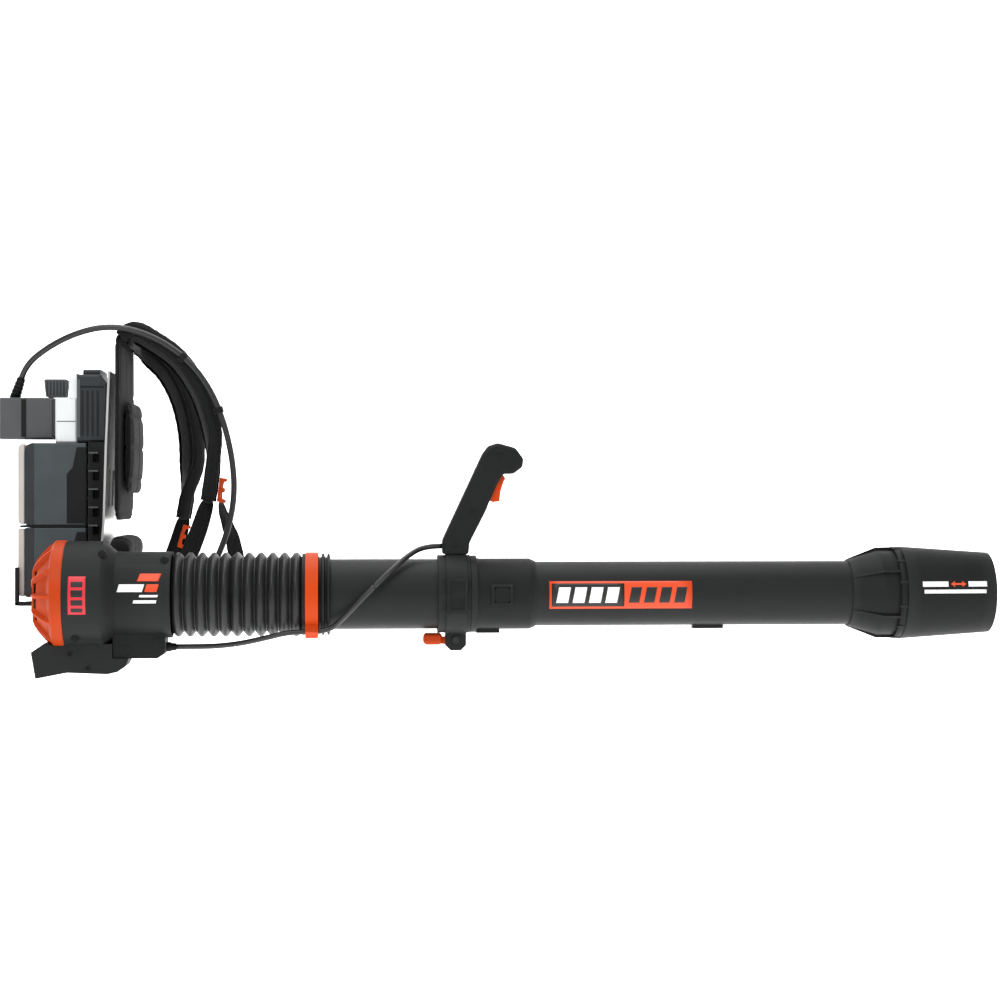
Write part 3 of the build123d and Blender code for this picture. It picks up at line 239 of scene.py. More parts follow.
def make_materials():
    """Every finish on the blower, by the short name that the pieces use."""
    tint = bpy.context.scene.blower_colours
    return {
        # Glass-filled polyamide, moulded: charcoal with a dry, even grain.
        "casing": moulded("glass-filled polyamide, moulded", scaled(tint.casing, 0.88),
                          scaled(tint.casing, 1.12), scaled(tint.casing, 2.6), 0.55),
        # ABS, moulded in a bright orange: clean colour, softly satin.
        "orange": moulded("ABS, moulded, orange", scaled(tint.accent, 0.94), scaled(tint.accent, 1.05),
                          scaled(tint.accent, 1.4), 0.42, grain=0.6, depth=0.03, wear=0.5),
        # Polypropylene, blow moulded: smoother than the casings, slightly waxy.
        "tube": moulded("polypropylene, blow moulded", "#151616", "#191a1a", "#2a2b2b", 0.46, grain=1.3,
                        depth=0.04),
        # Polyamide, moulded: darker than the casings, for clips and gratings; the same black also fills gaps
        # and recesses as painted shade.
        "dark": moulded("polyamide, moulded, black, also painted shade", "#0b0c0c", "#101111", "#222323", 0.5),
        # Polycarbonate blend, moulded: grey green with a satin skin.
        "battery": moulded("polycarbonate blend, moulded", scaled(tint.battery, 0.85),
                           scaled(tint.battery, 1.15), scaled(tint.battery, 2.2), 0.4, grain=0.7, depth=0.03),
        "unit": moulded("polycarbonate blend, moulded, dark", "#25282a", "#2c2f31", "#404346", 0.42),
        # ABS, moulded in pale grey: near white with a soft sheen.
        "pale": moulded("ABS, moulded, pale grey", "#d2d6d6", "#dde1e1", "#eceeee", 0.4, depth=0.02,
                        wear=0.2),
        # ABS with a silver lacquer: the packs' outer trim.
        "silver": moulded("ABS, silver lacquered", "#a9a39d", "#b8b2ac", "#cdc8c3", 0.3, coat=0.4,
                          depth=0.02),
        "plug": moulded("polyamide, moulded, grey", "#414345", "#494b4d", "#5c5e60", 0.5),
        "hose": corrugated_tpe(),
        "mesh": spacer_mesh(),
        "cloth": woven("polyester pack cloth, plain woven", "#060607", "#0e0f10", 1.6, 0.85),
        "webbing": woven("polypropylene webbing, woven", "#060607", "#101112", 2.0, 0.75),
        "cord": cord_jacket(),
        "frame": metal("aluminium sheet, brushed", "#d8d8d6", 0.34, 1.2, (1.0, 1.0, 0.06)),
        "steel": metal("steel, zinc plated and blackened", "#3a3b3d", 0.4, 0.8, (1.0, 1.0, 1.0)),
        "copper": metal("copper wire, enamelled", "#b5693a", 0.4, 0.6, (0.2, 1.0, 1.0)),
        "board": moulded("glass epoxy laminate, solder masked", "#0d4a2c", "#12553a", "#2a6b4f", 0.35),
        "print_orange": printed_film("vinyl film, printed orange", scaled(tint.label, 1.0)),
        "print_white": printed_film("vinyl film, printed white", "#f1f1ee"),
        "print_red": printed_film("vinyl film, printed red", "#c9232f"),
        "print_black": printed_film("vinyl film, printed black", "#121212"),
    }


# ---- Mesh helpers ----
def at(*mm):
    """A point given in millimetres, in metres."""
    return Vector(mm) * MM


def new_piece(name, mesh, finish, body, smooth=True):
    """Put a mesh in the scene with its finish, riding on a body."""
    piece = bpy.data.objects.new(name, mesh)
    bpy.context.collection.objects.link(piece)
    mesh.materials.clear()
    mesh.materials.append(FINISH[finish])
    for face in mesh.polygons:
        face.use_smooth = smooth
    if body:
        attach(piece, body)
    return piece


def from_bmesh(name, made):
    """The mesh that was being made, with its faces turned outward."""
    bmesh.ops.recalc_face_normals(made, faces=made.faces)
    mesh = bpy.data.meshes.new(name)
    made.to_mesh(mesh)
    made.free()
    return mesh


def turn_about_axis(x, radius, angle):
    """The point at this x, radius and angle round the air line, in metres."""
    return Vector((x * MM, AXIS.y + radius * MM * math.cos(angle), AXIS.z + radius * MM * math.sin(angle)))


def lathe(name, outline, steps=96):
    """A solid of revolution about the air line from (x, radius) points in millimetres."""
    made = bmesh.new()
    rings = [[made.verts.new(turn_about_axis(x, r, 2 * math.pi * i / steps)) for x, r in outline]
             for i in range(steps)]
    for i in range(steps):
        here, there = rings[i], rings[(i + 1) % steps]
        for j in range(len(outline)):
            k = (j + 1) % len(outline)
            made.faces.new((here[j], there[j], there[k], here[k]))
    return from_bmesh(name, made)


def bevelled(piece, width, segments=2, angle=35):
    """Round every crisp edge by this many millimetres."""
    bevel = piece.modifiers.new("edge rounding", "BEVEL")
    bevel.width = width * MM
    bevel.segments = segments
    bevel.limit_method = "ANGLE"
    bevel.angle_limit = math.radians(angle)
    bevel.harden_normals = True
    return piece


def applied(piece):
    """Bake the modifiers into the mesh, so that later vertex moves see the final shape."""
    graph = bpy.context.evaluated_depsgraph_get()
    finished = bpy.data.meshes.new_from_object(piece.evaluated_get(graph))
    piece.modifiers.clear()
    old, piece.data = piece.data, finished
    bpy.data.meshes.remove(old)
    return piece


def add_plate(made, outline, y0, y1, place=at):
    """Add a plate to a mesh being made: an outline in XZ, from y0 to y1; place(x, y, z) sets each point."""
    near = [made.verts.new(place(x, y0, z)) for x, z in outline]
    far = [made.verts.new(place(x, y1, z)) for x, z in outline]
    made.faces.new(near)
    made.faces.new(list(reversed(far)))
    for i in range(len(outline)):
        j = (i + 1) % len(outline)
        made.faces.new((near[i], far[i], far[j], near[j]))


def prism(name, outline, y0, y1):
    """A plate with an outline in XZ, from y0 to y1, all in millimetres."""
    made = bmesh.new()
    add_plate(made, outline, y0, y1)
    return from_bmesh(name, made)


def brick(made, low, high, turn=None):
    """Add a box between two corners, in millimetres, to a mesh being made."""
    corners = [at(x, y, z) for x in (low[0], high[0]) for y in (low[1], high[1]) for z in (low[2], high[2])]
    if turn:
        middle = at(*((a + b) / 2 for a, b in zip(low, high)))
        corners = [middle + turn @ (c - middle) for c in corners]
    verts = [made.verts.new(c) for c in corners]
    for quad in ((0, 1, 3, 2), (4, 6, 7, 5), (0, 4, 5, 1), (2, 3, 7, 6), (0, 2, 6, 4), (1, 5, 7, 3)):
        made.faces.new([verts[i] for i in quad])
    return verts


def smooth_line(points, closed=False, resolution=10):
    """The smooth route through given control points in metres, as Blender's own spline gives it."""
    curve = bpy.data.curves.new("route", "CURVE")
    curve.dimensions = "3D"
    curve.resolution_u = resolution
    spline = curve.splines.new("NURBS")
    spline.points.add(len(points) - 1)
    for knot, spot in zip(spline.points, points):
        knot.co = (*spot, 1.0)
    spline.order_u = 3
    spline.use_endpoint_u = not closed
    spline.use_cyclic_u = closed
    carrier = bpy.data.objects.new("route", curve)
    mesh = bpy.data.meshes.new_from_object(carrier)
    line = [v.co.copy() for v in mesh.vertices]
    bpy.data.objects.remove(carrier)
    bpy.data.curves.remove(curve)
    bpy.data.meshes.remove(mesh)
    return line


def tube_mesh(name, line, radius, sides=20):
    """A round tube along a line of points in metres, closed at both ends."""
    made = bmesh.new()
    rings, across = [], None
    for i, spot in enumerate(line):
        along = (line[min(i + 1, len(line) - 1)] - line[max(i - 1, 0)]).normalized()
        if across is None:
            across = along.orthogonal().normalized()
        across = (across - along * across.dot(along)).normalized()
        other = along.cross(across)
        rings.append([made.verts.new(spot + (across * math.cos(a) + other * math.sin(a)) * radius)
                      for a in (2 * math.pi * k / sides for k in range(sides))])
    for here, there in zip(rings, rings[1:]):
        for k in range(sides):
            made.faces.new((here[k], here[(k + 1) % sides], there[(k + 1) % sides], there[k]))
    made.faces.new(list(reversed(rings[0])))
    made.faces.new(rings[-1])
    return from_bmesh(name, made)


# ---- Camera, floor and light ----
FLOOR_Z = -1.25
CAMERA_PLACE = (0.298, -3.208, -0.102)
CAMERA_TURN = (90, 0, -4.16)
CAMERA_LENS, CAMERA_SENSOR = 79.2, 36
PAPER_EDGE = [(-7.0, 0.0), (4.0, 0.0), (4.4, 0.06), (4.7, 0.25), (4.85, 0.6), (4.9, 1.2), (4.9, 7.0)]
PAPER_SIDES = (-9.0, 10.0)
PAPER_GLOW = 0.9
WORLD_LIGHT = 0.48
# Each area light: its name, where it stands, where it points, its size and its power.
LIGHTS = [("key", (-0.9, -2.3, 2.0), (0.35, -0.2, -0.2), 1.8, 46),
          ("fill", (2.4, -2.6, 0.7), (0.6, -0.2, -0.2), 2.0, 16),
          ("top", (0.4, 0.1, 2.3), (0.4, -0.1, -0.2), 2.4, 55),
          ("back", (0.4, 1.6, 1.4), (0.4, 2.5, 0.4), 2.6, 60)]


def make_stage():
    """The camera, the curved paper backdrop, four area lights and an even white surround."""
    camera = bpy.data.objects.new("camera", bpy.data.cameras.new("camera"))
    camera.location = CAMERA_PLACE
    camera.rotation_euler = [math.radians(angle) for angle in CAMERA_TURN]
    camera.data.lens = CAMERA_LENS
    camera.data.sensor_width = CAMERA_SENSOR
    bpy.context.collection.objects.link(camera)
    bpy.context.scene.camera = camera

    made = bmesh.new()
    edge = [[made.verts.new((x, y, FLOOR_Z + z)) for y, z in PAPER_EDGE] for x in PAPER_SIDES]
    for i in range(len(PAPER_EDGE) - 1):
        made.faces.new((edge[0][i], edge[1][i], edge[1][i + 1], edge[0][i + 1]))
    floor = bpy.data.objects.new("studio_floor", from_bmesh("studio_floor", made))
    bpy.context.collection.objects.link(floor)
    paper, tree, _ = start_material("seamless paper, white")
    finished(paper, tree, {"Base Color": linear("#f4f4f4"), "Roughness": 0.9,
                           "Emission Color": (1.0, 1.0, 1.0, 1.0), "Emission Strength": PAPER_GLOW})
    floor.data.materials.append(paper)
    for face in floor.data.polygons:
        face.use_smooth = True

    for name, place, target, size, power in LIGHTS:
        lamp = bpy.data.objects.new(name, bpy.data.lights.new(name, "AREA"))
        lamp.location = place
        lamp.rotation_euler = (Vector(target) - Vector(place)).to_track_quat("-Z", "Y").to_euler()
        lamp.data.size = size
        lamp.data.energy = power
        bpy.context.collection.objects.link(lamp)
    world = bpy.data.worlds.new("studio")
    world.use_nodes = True
    sky = world.node_tree.nodes["Background"].inputs
    sky["Color"].default_value = (1, 1, 1, 1)
    sky["Strength"].default_value = WORLD_LIGHT
    bpy.context.scene.world = world
    bpy.context.scene.view_settings.view_transform = "Standard"


# ---- Cords: each route's points are its spline's control points ----
CORD_RADIUS = 4.2
CABLE_RADIUS = 3.6
POWER_ROUTE = [(-150.7, -57.6, 70.8), (-143.9, -65.3, 88.0), (-113, -84, 111), (-72, -101, 130.5),
               (-29, -110, 140.5), (14, -113, 135.5), (56, -113, 116.5), (93, -113, 87), (120, -113, 48),
               (137, -113, 4), (148, -113, -44), (151.5, -113, -93), (143, -115, -142), (126, -118, -187),
               (102, -122, -229), (74, -124, -268), (43, -126, -297), (17, -133, -314), (4, -154, -319),
               (4, -184, -319)]
CABLE_REAR_ROUTE = [(79, -230, -299), (102, -230, -299), (134, -238, -298), (167, -251, -293.5),
                    (200, -264.5, -285.5), (232, -270.5, -277.3), (260.3, -270.5, -277.3)]
CABLE_FRONT_ROUTE = [(260.3, -270.5, -277.3), (283, -270.5, -277.3), (305, -281, -256), (325, -286, -235),
                     (346, -285.5, -214), (367, -276, -195), (388, -257, -177), (412, -230, -164.3),
                     (435.8, -230, -164.3)]
CABLE_REAR_SPLIT = 160       # where the rear cable is cut into two stretches, along X
CABLE_FRONT_SPLIT = 345


def lay_cable(name, line, node):
    """One stretch of the control cable."""
    piece = new_piece(name, tube_mesh(name, line, CABLE_RADIUS * MM), "cord", None)
    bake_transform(piece)
    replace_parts(piece, node)


def make_cords():
    """The power lead, then the control cable in four stretches."""
    power = smooth_line([at(*p) for p in POWER_ROUTE])
    jacket = tube_mesh("power_cord_jacket", power, CORD_RADIUS * MM)
    piece = new_piece("power_cord_jacket", jacket, "cord", None)
    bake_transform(piece)
    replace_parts(piece, "power_cord")

    rear = smooth_line([at(*p) for p in CABLE_REAR_ROUTE])
    split = max(i for i, p in enumerate(rear) if p.x < CABLE_REAR_SPLIT * MM)
    for name, line, low, high, start, end in (
            ("control_cable_at_hose", rear[:split + 1], "pack", "hose", 0.080, 0.150),
            ("control_cable_at_ring", rear[split:], "hose", "wand", 0.165, 0.245)):
        lay_cable(name, line, "control_cable_rear")

    front = smooth_line([at(*p) for p in CABLE_FRONT_ROUTE])
    split = max(i for i, p in enumerate(front) if p.x < CABLE_FRONT_SPLIT * MM)
    for name, line, low, high in (("control_cable_on_tube", front[:split + 1], "wand", "liner"),
                                  ("control_cable_to_handle", front[split:], "liner", "handle")):
        lay_cable(name, line, "control_cable_front")


# ---- Corrugated hose ----
HOSE_START = 74.3
HOSE_PITCH = 15.73
HOSE_RIDGES = (5, 6)
RIDGE_RADIUS = 56.8
HOSE_WALL = 2.2


def make_hose():
    """Two lathed bellows with rounded corrugations, which lie between the bodies at their ends."""
    start = HOSE_START
    height = bpy.context.scene.blower_sizes.corrugation / MM
    for name, ridges, low, high in (("hose_rear_bellows", HOSE_RIDGES[0], "pack", "hose"),
                                    ("hose_front_bellows", HOSE_RIDGES[1], "hose", "wand")):
        outline, steps = [], 18
        for i in range(ridges * steps + 1):
            share = i / steps
            swell = (0.5 - 0.5 * math.cos(2 * math.pi * share)) ** 0.55
            outline.append((start + share * HOSE_PITCH, RIDGE_RADIUS - height * (1 - swell)))
        inner = [(x, r - HOSE_WALL) for x, r in reversed(outline)]
        piece = new_piece(name, lathe(name, outline + inner, steps=128), "hose", None)
        reach = ridges * HOSE_PITCH
        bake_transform(piece)
        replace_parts(piece, "flex_hose_rear" if low == "pack" else "flex_hose_front")
        start += reach


# ---- Intake grille: a ribbed dome with recessed louvre panels ----
GRILLE_RIBS = 12
RIB_HALF = 1.5                  # half of each rib's thickness
PANEL_ENDS = (-106.0, -82.0)    # between these places along X, the panels are set back
SLOT_ROWS = (7, 9)              # the rows of faces that are left open as slots round the nose


def make_grille():
    """A domed shell of panels set back between raised ribs, slotted round its flat nose, over a screen."""
    made = bmesh.new()
    rows = [(-66.0, 72.0), (-67.5, 73.0), (-79.5, 73.0), (-81.0, 72.0), (-82.0, 70.6), (-89.0, 64.0),
            (-97.0, 55.6), (-104.5, 46.4), (-107.6, 38.0), (-109.0, 26.0), (-110.0, 19.0), (-110.6, 0.5)]
    per = 16
    recess = bpy.context.scene.blower_sizes.grille_recess / MM
    steps = GRILLE_RIBS * per
    rings = []
    for x, radius in rows:
        ring = []
        for i in range(steps):
            share = (i % per) / per
            panel = min(share, 1 - share) * 2
            sunk = 0.0
            if PANEL_ENDS[0] < x < PANEL_ENDS[1]:
                sunk = recess * min(1.0, max(0.0, (panel - 0.14) / 0.12))
            spot = turn_about_axis(x + sunk * 0.55, radius - sunk, 2 * math.pi * i / steps)
            ring.append(made.verts.new(spot))
        rings.append(ring)
    for j in range(len(rows) - 1):
        for i in range(steps):
            k = (i + 1) % steps
            share = ((i + 0.5) % per) / per
            if not (j in SLOT_ROWS and 0.2 < share < 0.8):
                made.faces.new((rings[j][i], rings[j][k], rings[j + 1][k], rings[j + 1][i]))
    made.faces.new(rings[-1])
    cage = from_bmesh("intake_cage", made)
    piece = new_piece("intake_cage", cage, "orange", None, smooth=False)
    skin = piece.modifiers.new("wall", "SOLIDIFY")
    skin.thickness = 2.4 * MM
    skin.offset = -1
    bevelled(piece, 0.5, angle=28)
    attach(piece, "pack")
    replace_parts(piece, "intake_grille")
    made = bmesh.new()
    outline = [(-81, 71.5), (-81, 66), (-96, 50), (-104, 42), (-107.5, 24), (-110.4, 24), (-109.2, 39),
               (-105.8, 47.2), (-97.6, 56.9), (-89, 65.6)]
    for i in range(GRILLE_RIBS):
        turn = Matrix.Rotation(2 * math.pi * i / GRILLE_RIBS, 3, "X")
        add_plate(made, outline, -RIB_HALF, RIB_HALF, lambda x, y, z: AXIS + turn @ at(x, y, z))
    ribs = new_piece("intake_ribs", from_bmesh("intake_ribs", made), "orange", "pack", smooth=False)
    bevelled(ribs, 0.5)
    screen = lathe("intake_screen", [(-79, 63), (-100, 42), (-104, 12), (-102, 12), (-98, 41), (-77, 61)])
    new_piece("intake_screen", screen, "dark", "pack")


# ---- Printed labels: thin films on the curved walls ----
FILM_THICKNESS = 0.2
FRONT_TUBE_RADIUS = 43.5


def cut_across(made, low, high, parts, axis):
    """Cut a flat mesh into this many parts between two places along an axis."""
    for k in range(1, parts):
        place = axis * (low + (high - low) * k / parts)
        bmesh.ops.bisect_plane(made, geom=made.verts[:] + made.edges[:] + made.faces[:], plane_co=place,
                               plane_no=axis)


def wrapped_film(name, outline, radius, finish, body, lift):
    """A film laid on a tube's near side: outline in (x, world z) mm, radius(x) of the wall under it."""
    made = bmesh.new()
    made.faces.new([made.verts.new((x, z, 0)) for x, z in outline])
    xs, zs = zip(*outline)
    cut_across(made, min(zs), max(zs), 12, Vector((0, 1, 0)))
    cut_across(made, min(xs), max(xs), 9, Vector((1, 0, 0)))
    for v in made.verts:
        x, z = v.co.x, v.co.y
        r = radius(x) + lift
        up = z - AXIS.z / MM
        v.co = at(x, AXIS.y / MM - math.sqrt(max(r * r - up * up, 1.0)), z)
    mesh = bpy.data.meshes.new(name)
    made.to_mesh(mesh)
    made.free()
    piece = new_piece(name, mesh, finish, body)
    film = piece.modifiers.new("film", "SOLIDIFY")
    film.thickness = FILM_THICKNESS * MM
    return piece


def bar(x0, x1, z0, z1, slant=0.0):
    """A bar's outline, its top moved along X by the slant."""
    return [(x0, z0), (x1, z0), (x1 + slant, z1), (x0 + slant, z1)]


def body_radius(x):
    """The motor housing's wall: drum, cone, then neck."""
    if x < -16:
        return 72.0
    return max(57.8, 72.0 - (x + 16) * 0.83)


def tube_radius(x):
    """The front tube's wall, which is straight."""
    return FRONT_TUBE_RADIUS


def sleeve_radius(x):
    """The nozzle sleeve's wall, which narrows towards the outlet."""
    return 63.3 - (x - 1062.3) * (63.3 - 54.8) / 124


def make_labels():
    """Plain bars and an arrow in the places of the printed marks."""
    arrow = [(1121, -215.5), (1127, -211.5), (1127, -214.2), (1137, -214.2), (1137, -211.5), (1143, -215.5),
             (1137, -219.5), (1137, -216.8), (1127, -216.8), (1127, -219.5)]
    drum = [("motor_label", bar(-57, -34, -252, -202), "print_red", 0.25),
            ("neck_mark_orange", bar(31, 59, -209, -199, 4), "print_orange", 0.25),
            ("neck_mark_white", bar(5, 38, -223, -213, 3), "print_white", 0.25),
            ("neck_mark_accent", bar(41, 57, -223, -213, 3), "print_orange", 0.25),
            ("neck_line_upper", bar(34, 58, -230, -227, 1), "print_white", 0.25),
            ("neck_line_lower", bar(26, 56, -238, -234, 1), "print_white", 0.25)]
    tube = [("tube_label_orange", bar(578, 771, -248, -211), "print_orange", 0.2),
            ("tube_label_black", bar(581, 679, -245, -214), "print_black", 0.4)]
    for i in range(4):
        white, dark = 587 + 22 * i, 685 + 20.5 * i
        tube += [(f"tube_label_white_{i + 1}", bar(white, white + 16, -240, -219, 4), "print_white", 0.6),
                 (f"tube_label_dark_{i + 1}", bar(dark, dark + 14, -240, -219, 4), "print_black", 0.4)]
    lines = [(f"motor_label_line_{i + 1}", bar(-53, -38, z0, z1), "print_black", 0.45)
             for i, (z0, z1) in enumerate(((-216, -209), (-229, -220), (-240, -233), (-249, -244)))]
    sleeve = [("sleeve_mark_left", bar(1082, 1118, -219, -212), "print_white", 0.25),
              ("sleeve_mark_right", bar(1146, 1172, -219, -212), "print_white", 0.25),
              ("sleeve_mark_line", bar(1084, 1171, -228, -223), "print_white", 0.25),
              ("sleeve_arrow", arrow, "print_orange", 0.25)]
    for films, radius, body in ((drum, body_radius, "pack"), (tube, tube_radius, "front_wand"),
                                (lines, body_radius, "pack"), (sleeve, sleeve_radius, "sleeve")):
        for name, outline, finish, lift in films:
            wrapped_film(name, outline, radius, finish, body, lift)


# ---- Battery packs: two-part cases with a bright end cap, and dark plates of painted shade at the dock end ----
# Each pack's near and far side along Y, then its top and its bottom.
BATTERY_ROWS = {1: (-88.0, -2.0, -22.0, -136.8), 2: (-88.0, -2.0, -141.0, -238.0),
                3: (2.0, 88.0, -22.0, -136.8), 4: (2.0, 88.0, -141.0, -238.0)}
UPPER_PACKS = (1, 3)


def case_outline(x0, x1, top, bottom, round_top):
    """A pack's side outline, with a rounded outer top corner."""
    arc = [(x0 + round_top * (1 - math.sin(a)), top - round_top * (1 - math.cos(a)))
           for a in (math.pi / 2 * k / 5 for k in range(6))]
    return [(x1, top)] + arc + [(x0, bottom + 3), (x0 + 3, bottom), (x1, bottom)]


def pack_shell(name, outline, y0, y1, finish, body, round_by, segments=2):
    """One moulded shell of a pack, with its edges rounded."""
    shell = new_piece(name, prism(name, outline, y0, y1), finish, body, smooth=False)
    return bevelled(shell, round_by, segments=segments)


def make_batteries():
    """Four packs, each a case with a rim, a bright end cap, a latch frame and dark plates of painted shade at
    its dock end.
    """
    for number, (near, far, top, bottom) in BATTERY_ROWS.items():
        body = f"battery_{number}"
        corner = 1.0 if number in UPPER_PACKS else 0.3
        case = case_outline(-143, -57, top, bottom, 13 * corner)
        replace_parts(pack_shell(f"{body}_case", case, near, far, "battery", body, 2.2, 3), body)
        cap = case_outline(-152, -142.6, top - 1.0, bottom + 1, 7.5 * corner)
        pack_shell(f"{body}_end_cap", cap, near + 2, far - 2, "silver", body, 2.0, 3)
        middle, press = (near + far) / 2, top - 34
        left, right = middle - 19, middle + 19
        trim(f"{body}_latch_frame", [((-152.6, left, press - 12), (-151.8, right, press - 9.4)),
                                     ((-152.6, left, press + 9.4), (-151.8, right, press + 12)),
                                     ((-152.6, left, press - 9.4), (-151.8, left + 2.6, press + 9.4)),
                                     ((-152.6, right - 2.6, press - 9.4), (-151.8, right, press + 9.4))],
             "dark", body, 0.2)
        rim = case_outline(-142.8, -128.5, top + 0.2, bottom - 0.2, 12.5 * corner)
        pack_shell(f"{body}_rim", rim, near - 0.4, far + 0.4, "unit", body, 1.6)
        # Dark plates on both sides at the dock end, stepped where the side is cut away: painted shade for the
        # recess there.
        made = bmesh.new()
        step = bottom + 0.62 * (top - bottom)
        outline = [(-58, top - 6), (-58, bottom + 2), (-84, bottom + 2), (-84, step), (-76, step + 9),
                   (-70, top - 6)]
        for y0, y1 in ((near - 0.9, near + 1.0), (far - 1.0, far + 0.9)):
            add_plate(made, outline, y0, y1)
        cover = from_bmesh(f"{body}_recess_shade", made)
        bevelled(new_piece(f"{body}_recess_shade", cover, "dark", body, smooth=False), 0.5)


# ---- Dock, electronics unit, terminal block and plug: trims over the CAD shapes ----
def trim(name, boxes, finish, body, round_by):
    """Small moulded trims, each a box between two corners in millimetres, with rounded edges."""
    made = bmesh.new()
    for low, high in boxes:
        brick(made, low, high)
    bevelled(new_piece(name, from_bmesh(name, made), finish, body, smooth=False), round_by)


def make_pack_trims():
    """Ribs, seams, louvres and guards, in mirrored pairs where both sides of the pack have them."""
    ribs = [((-64 + 7.0 * k, y, -12), (-61.5 + 7.0 * k, y + 1.4, 52))
            for k in range(4) for y in (-85.3, 83.9)]
    trim("unit_side_ribs", ribs, "casing", "pack", 0.4)
    trim("unit_side_band", [((-70.6, y, -14), (-66.0, y + 1.2, 68)) for y in (-85.1, 83.9)], "plug", "pack",
         0.4)
    trim("unit_shoulder_line", [((-66, y, 56), (-33, y + 1.2, 58)) for y in (-85.0, 83.8)], "dark", "pack",
         0.3)
    trim("terminal_side_groove", [((-99, y, 8), (-73, y + 0.5, 9.2)) for y in (-80.4, 79.9)], "plug", "pack",
         0.2)
    trim("terminal_face_marks", [((-101.4, y, 20), (-100.8, y + 34, 24)) for y in (-10, 36)], "print_orange",
         "pack", 0.2)
    trim("terminal_seam", [((-82.4, -79, 40.8), (-71.4, 79, 41.9))], "plug", "pack", 0.2)
    louvres = []
    for k in range(8):
        top = -34.5 - 25.5 * k
        louvres += [((-53.6, y, top - 2.4), (-40, y + 7.5, top - 0.2)) for y in (-92.4, 84.9)]
    trim("dock_louvre_blades", louvres, "plug", "pack", 0.5)
    trim("dock_louvre_backs", [((-52.5, y, -240), (-49.4, y + 9, -26)) for y in (-91.6, 82.6)], "dark",
         "pack", 0.4)
    # A dark bar between the upper and lower packs: painted shade for the gap between the rows.
    trim("row_gap_shade", [((-149, -87, -140.4), (-58, 87, -137.4))], "dark", "pack", 0.4)
    corner = [((-154, y, -249.5), (-118, y + 9, -244)) for y in (-98.5, 89.5)]
    corner += [((-154.5, y, -249.5), (-149, y + 9, -196)) for y in (-98.5, 89.5)]
    trim("foot_corner_guards", corner, "dark", "pack", 1.0)
    trim("plug_side_line", [((-150, -67.6, -13), (-143, -66.8, 40))], "dark", "plug", 0.3)
    trim("plug_end_frame", [((-180.5, -64, z), (-177, -26, z + 4)) for z in (34, -12)], "unit", "plug",
         0.6)
    grips = [((-116 + 4.6 * k, y, 46), (-113.6 + 4.6 * k, y + 1.0, 66))
             for k in range(6) for y in (-58.9, -32.1)]
    trim("plug_knob_grips", grips, "unit", "plug_knob", 0.4)


# ---- Trigger handle and nozzle: smooth grip shells, and the painted shade of the air gaps behind the sleeve ----
HUB_RIBS = 12


def evened(piece, label, voxel):
    """Give a piece an even skin of small faces, this many millimetres wide."""
    remesh = piece.modifiers.new(label, "REMESH")
    remesh.mode = "VOXEL"
    remesh.voxel_size = voxel * MM


def smoothed_node(name, node, finish, body, voxel=1.6):
    """A moulded copy of a CAD piece with its edges melted together."""
    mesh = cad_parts[node].data.copy()
    mesh.name = name
    piece = new_piece(name, mesh, finish, None)
    evened(piece, "even skin", voxel)
    soften = piece.modifiers.new("melted edges", "SMOOTH")
    soften.factor, soften.iterations = 0.5, bpy.context.scene.blower_sizes.grip_rounding
    applied(piece)
    for face in piece.data.polygons:
        face.use_smooth = True
    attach(piece, body)
    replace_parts(piece, node)


def make_nozzle_slots():
    """A black ring of painted shade in the air gaps between the hub and the sleeve, with the hub's ribs
    bridging them.
    """
    # A solid black ring fills the gaps: painted shade where they open into the nozzle.
    gap = lathe("nozzle_gap_shade", [(1053.0, 60.5), (1053.0, 62.55), (1061.8, 63.0), (1061.8, 60.5)])
    new_piece("nozzle_gap_shade", gap, "dark", "front_wand")
    made = bmesh.new()
    for i in range(HUB_RIBS):
        turn = Matrix.Rotation(2 * math.pi * (i + 0.5) / HUB_RIBS, 3, "X")
        for v in brick(made, (1051.5, -1.8, 60.8), (1061.9, 1.8, 63.6)):
            v.co = AXIS + turn @ v.co
    ribs = new_piece("nozzle_gap_ribs", from_bmesh("nozzle_gap_ribs", made), "casing", "front_wand",
                     smooth=False)
    bevelled(ribs, 0.4)


def make_handle():
    """The two smooth shells of the trigger handle."""
    smoothed_node("grip_near_shell", "handle_right", "casing", "handle")
    smoothed_node("grip_far_shell", "handle_left", "casing", "handle")


# ---- Padded pieces: covers that a short cloth run fills, then sewn ----
STRAP_RIGHT = [(-9, 125), (8, 134), (34, 121.5), (70, 95), (99, 52), (116, 2), (120, -45), (112, -108)]
STRAP_LEFT = [(-9, 125), (12, 118), (42, 92), (64, 52), (76, 5), (79, -45), (73, -90), (66, -132)]
STRAP_MIDDLE = 81.0
SECTION_POINTS = 40
CLOTH_FRAMES = 20
CLOTH_STRETCH, CLOTH_BEND = 12, 0.4
WEB_RIGHT = [(112, -100), (109.4, -113), (97, -150), (80, -188), (45, -226), (-8, -243), (-29.5, -243.5)]
WEB_LEFT = [(67, -124), (65.6, -137), (56, -170), (42, -205), (12, -233), (-15, -243), (-29.5, -243.5)]
TAIL_RIGHT = [(129, -104), (137, -130), (147, -158), (152, -186)]
WEB_WIDE, WEB_THICK = 26, 2.6


def through(points, steps=8):
    """A smooth run through every (x, z) point."""
    line = []
    for i in range(len(points) - 1):
        a, b = points[max(i - 1, 0)], points[i]
        c, d = points[i + 1], points[min(i + 2, len(points) - 1)]
        for k in range(steps):
            t = k / steps
            line.append(tuple(0.5 * (2 * q + (r - p) * t + (2 * p - 5 * q + 4 * r - s) * t * t
                                     + (3 * q - p - 3 * r + s) * t ** 3) for p, q, r, s in zip(a, b, c, d)))
    return line + [points[-1]]


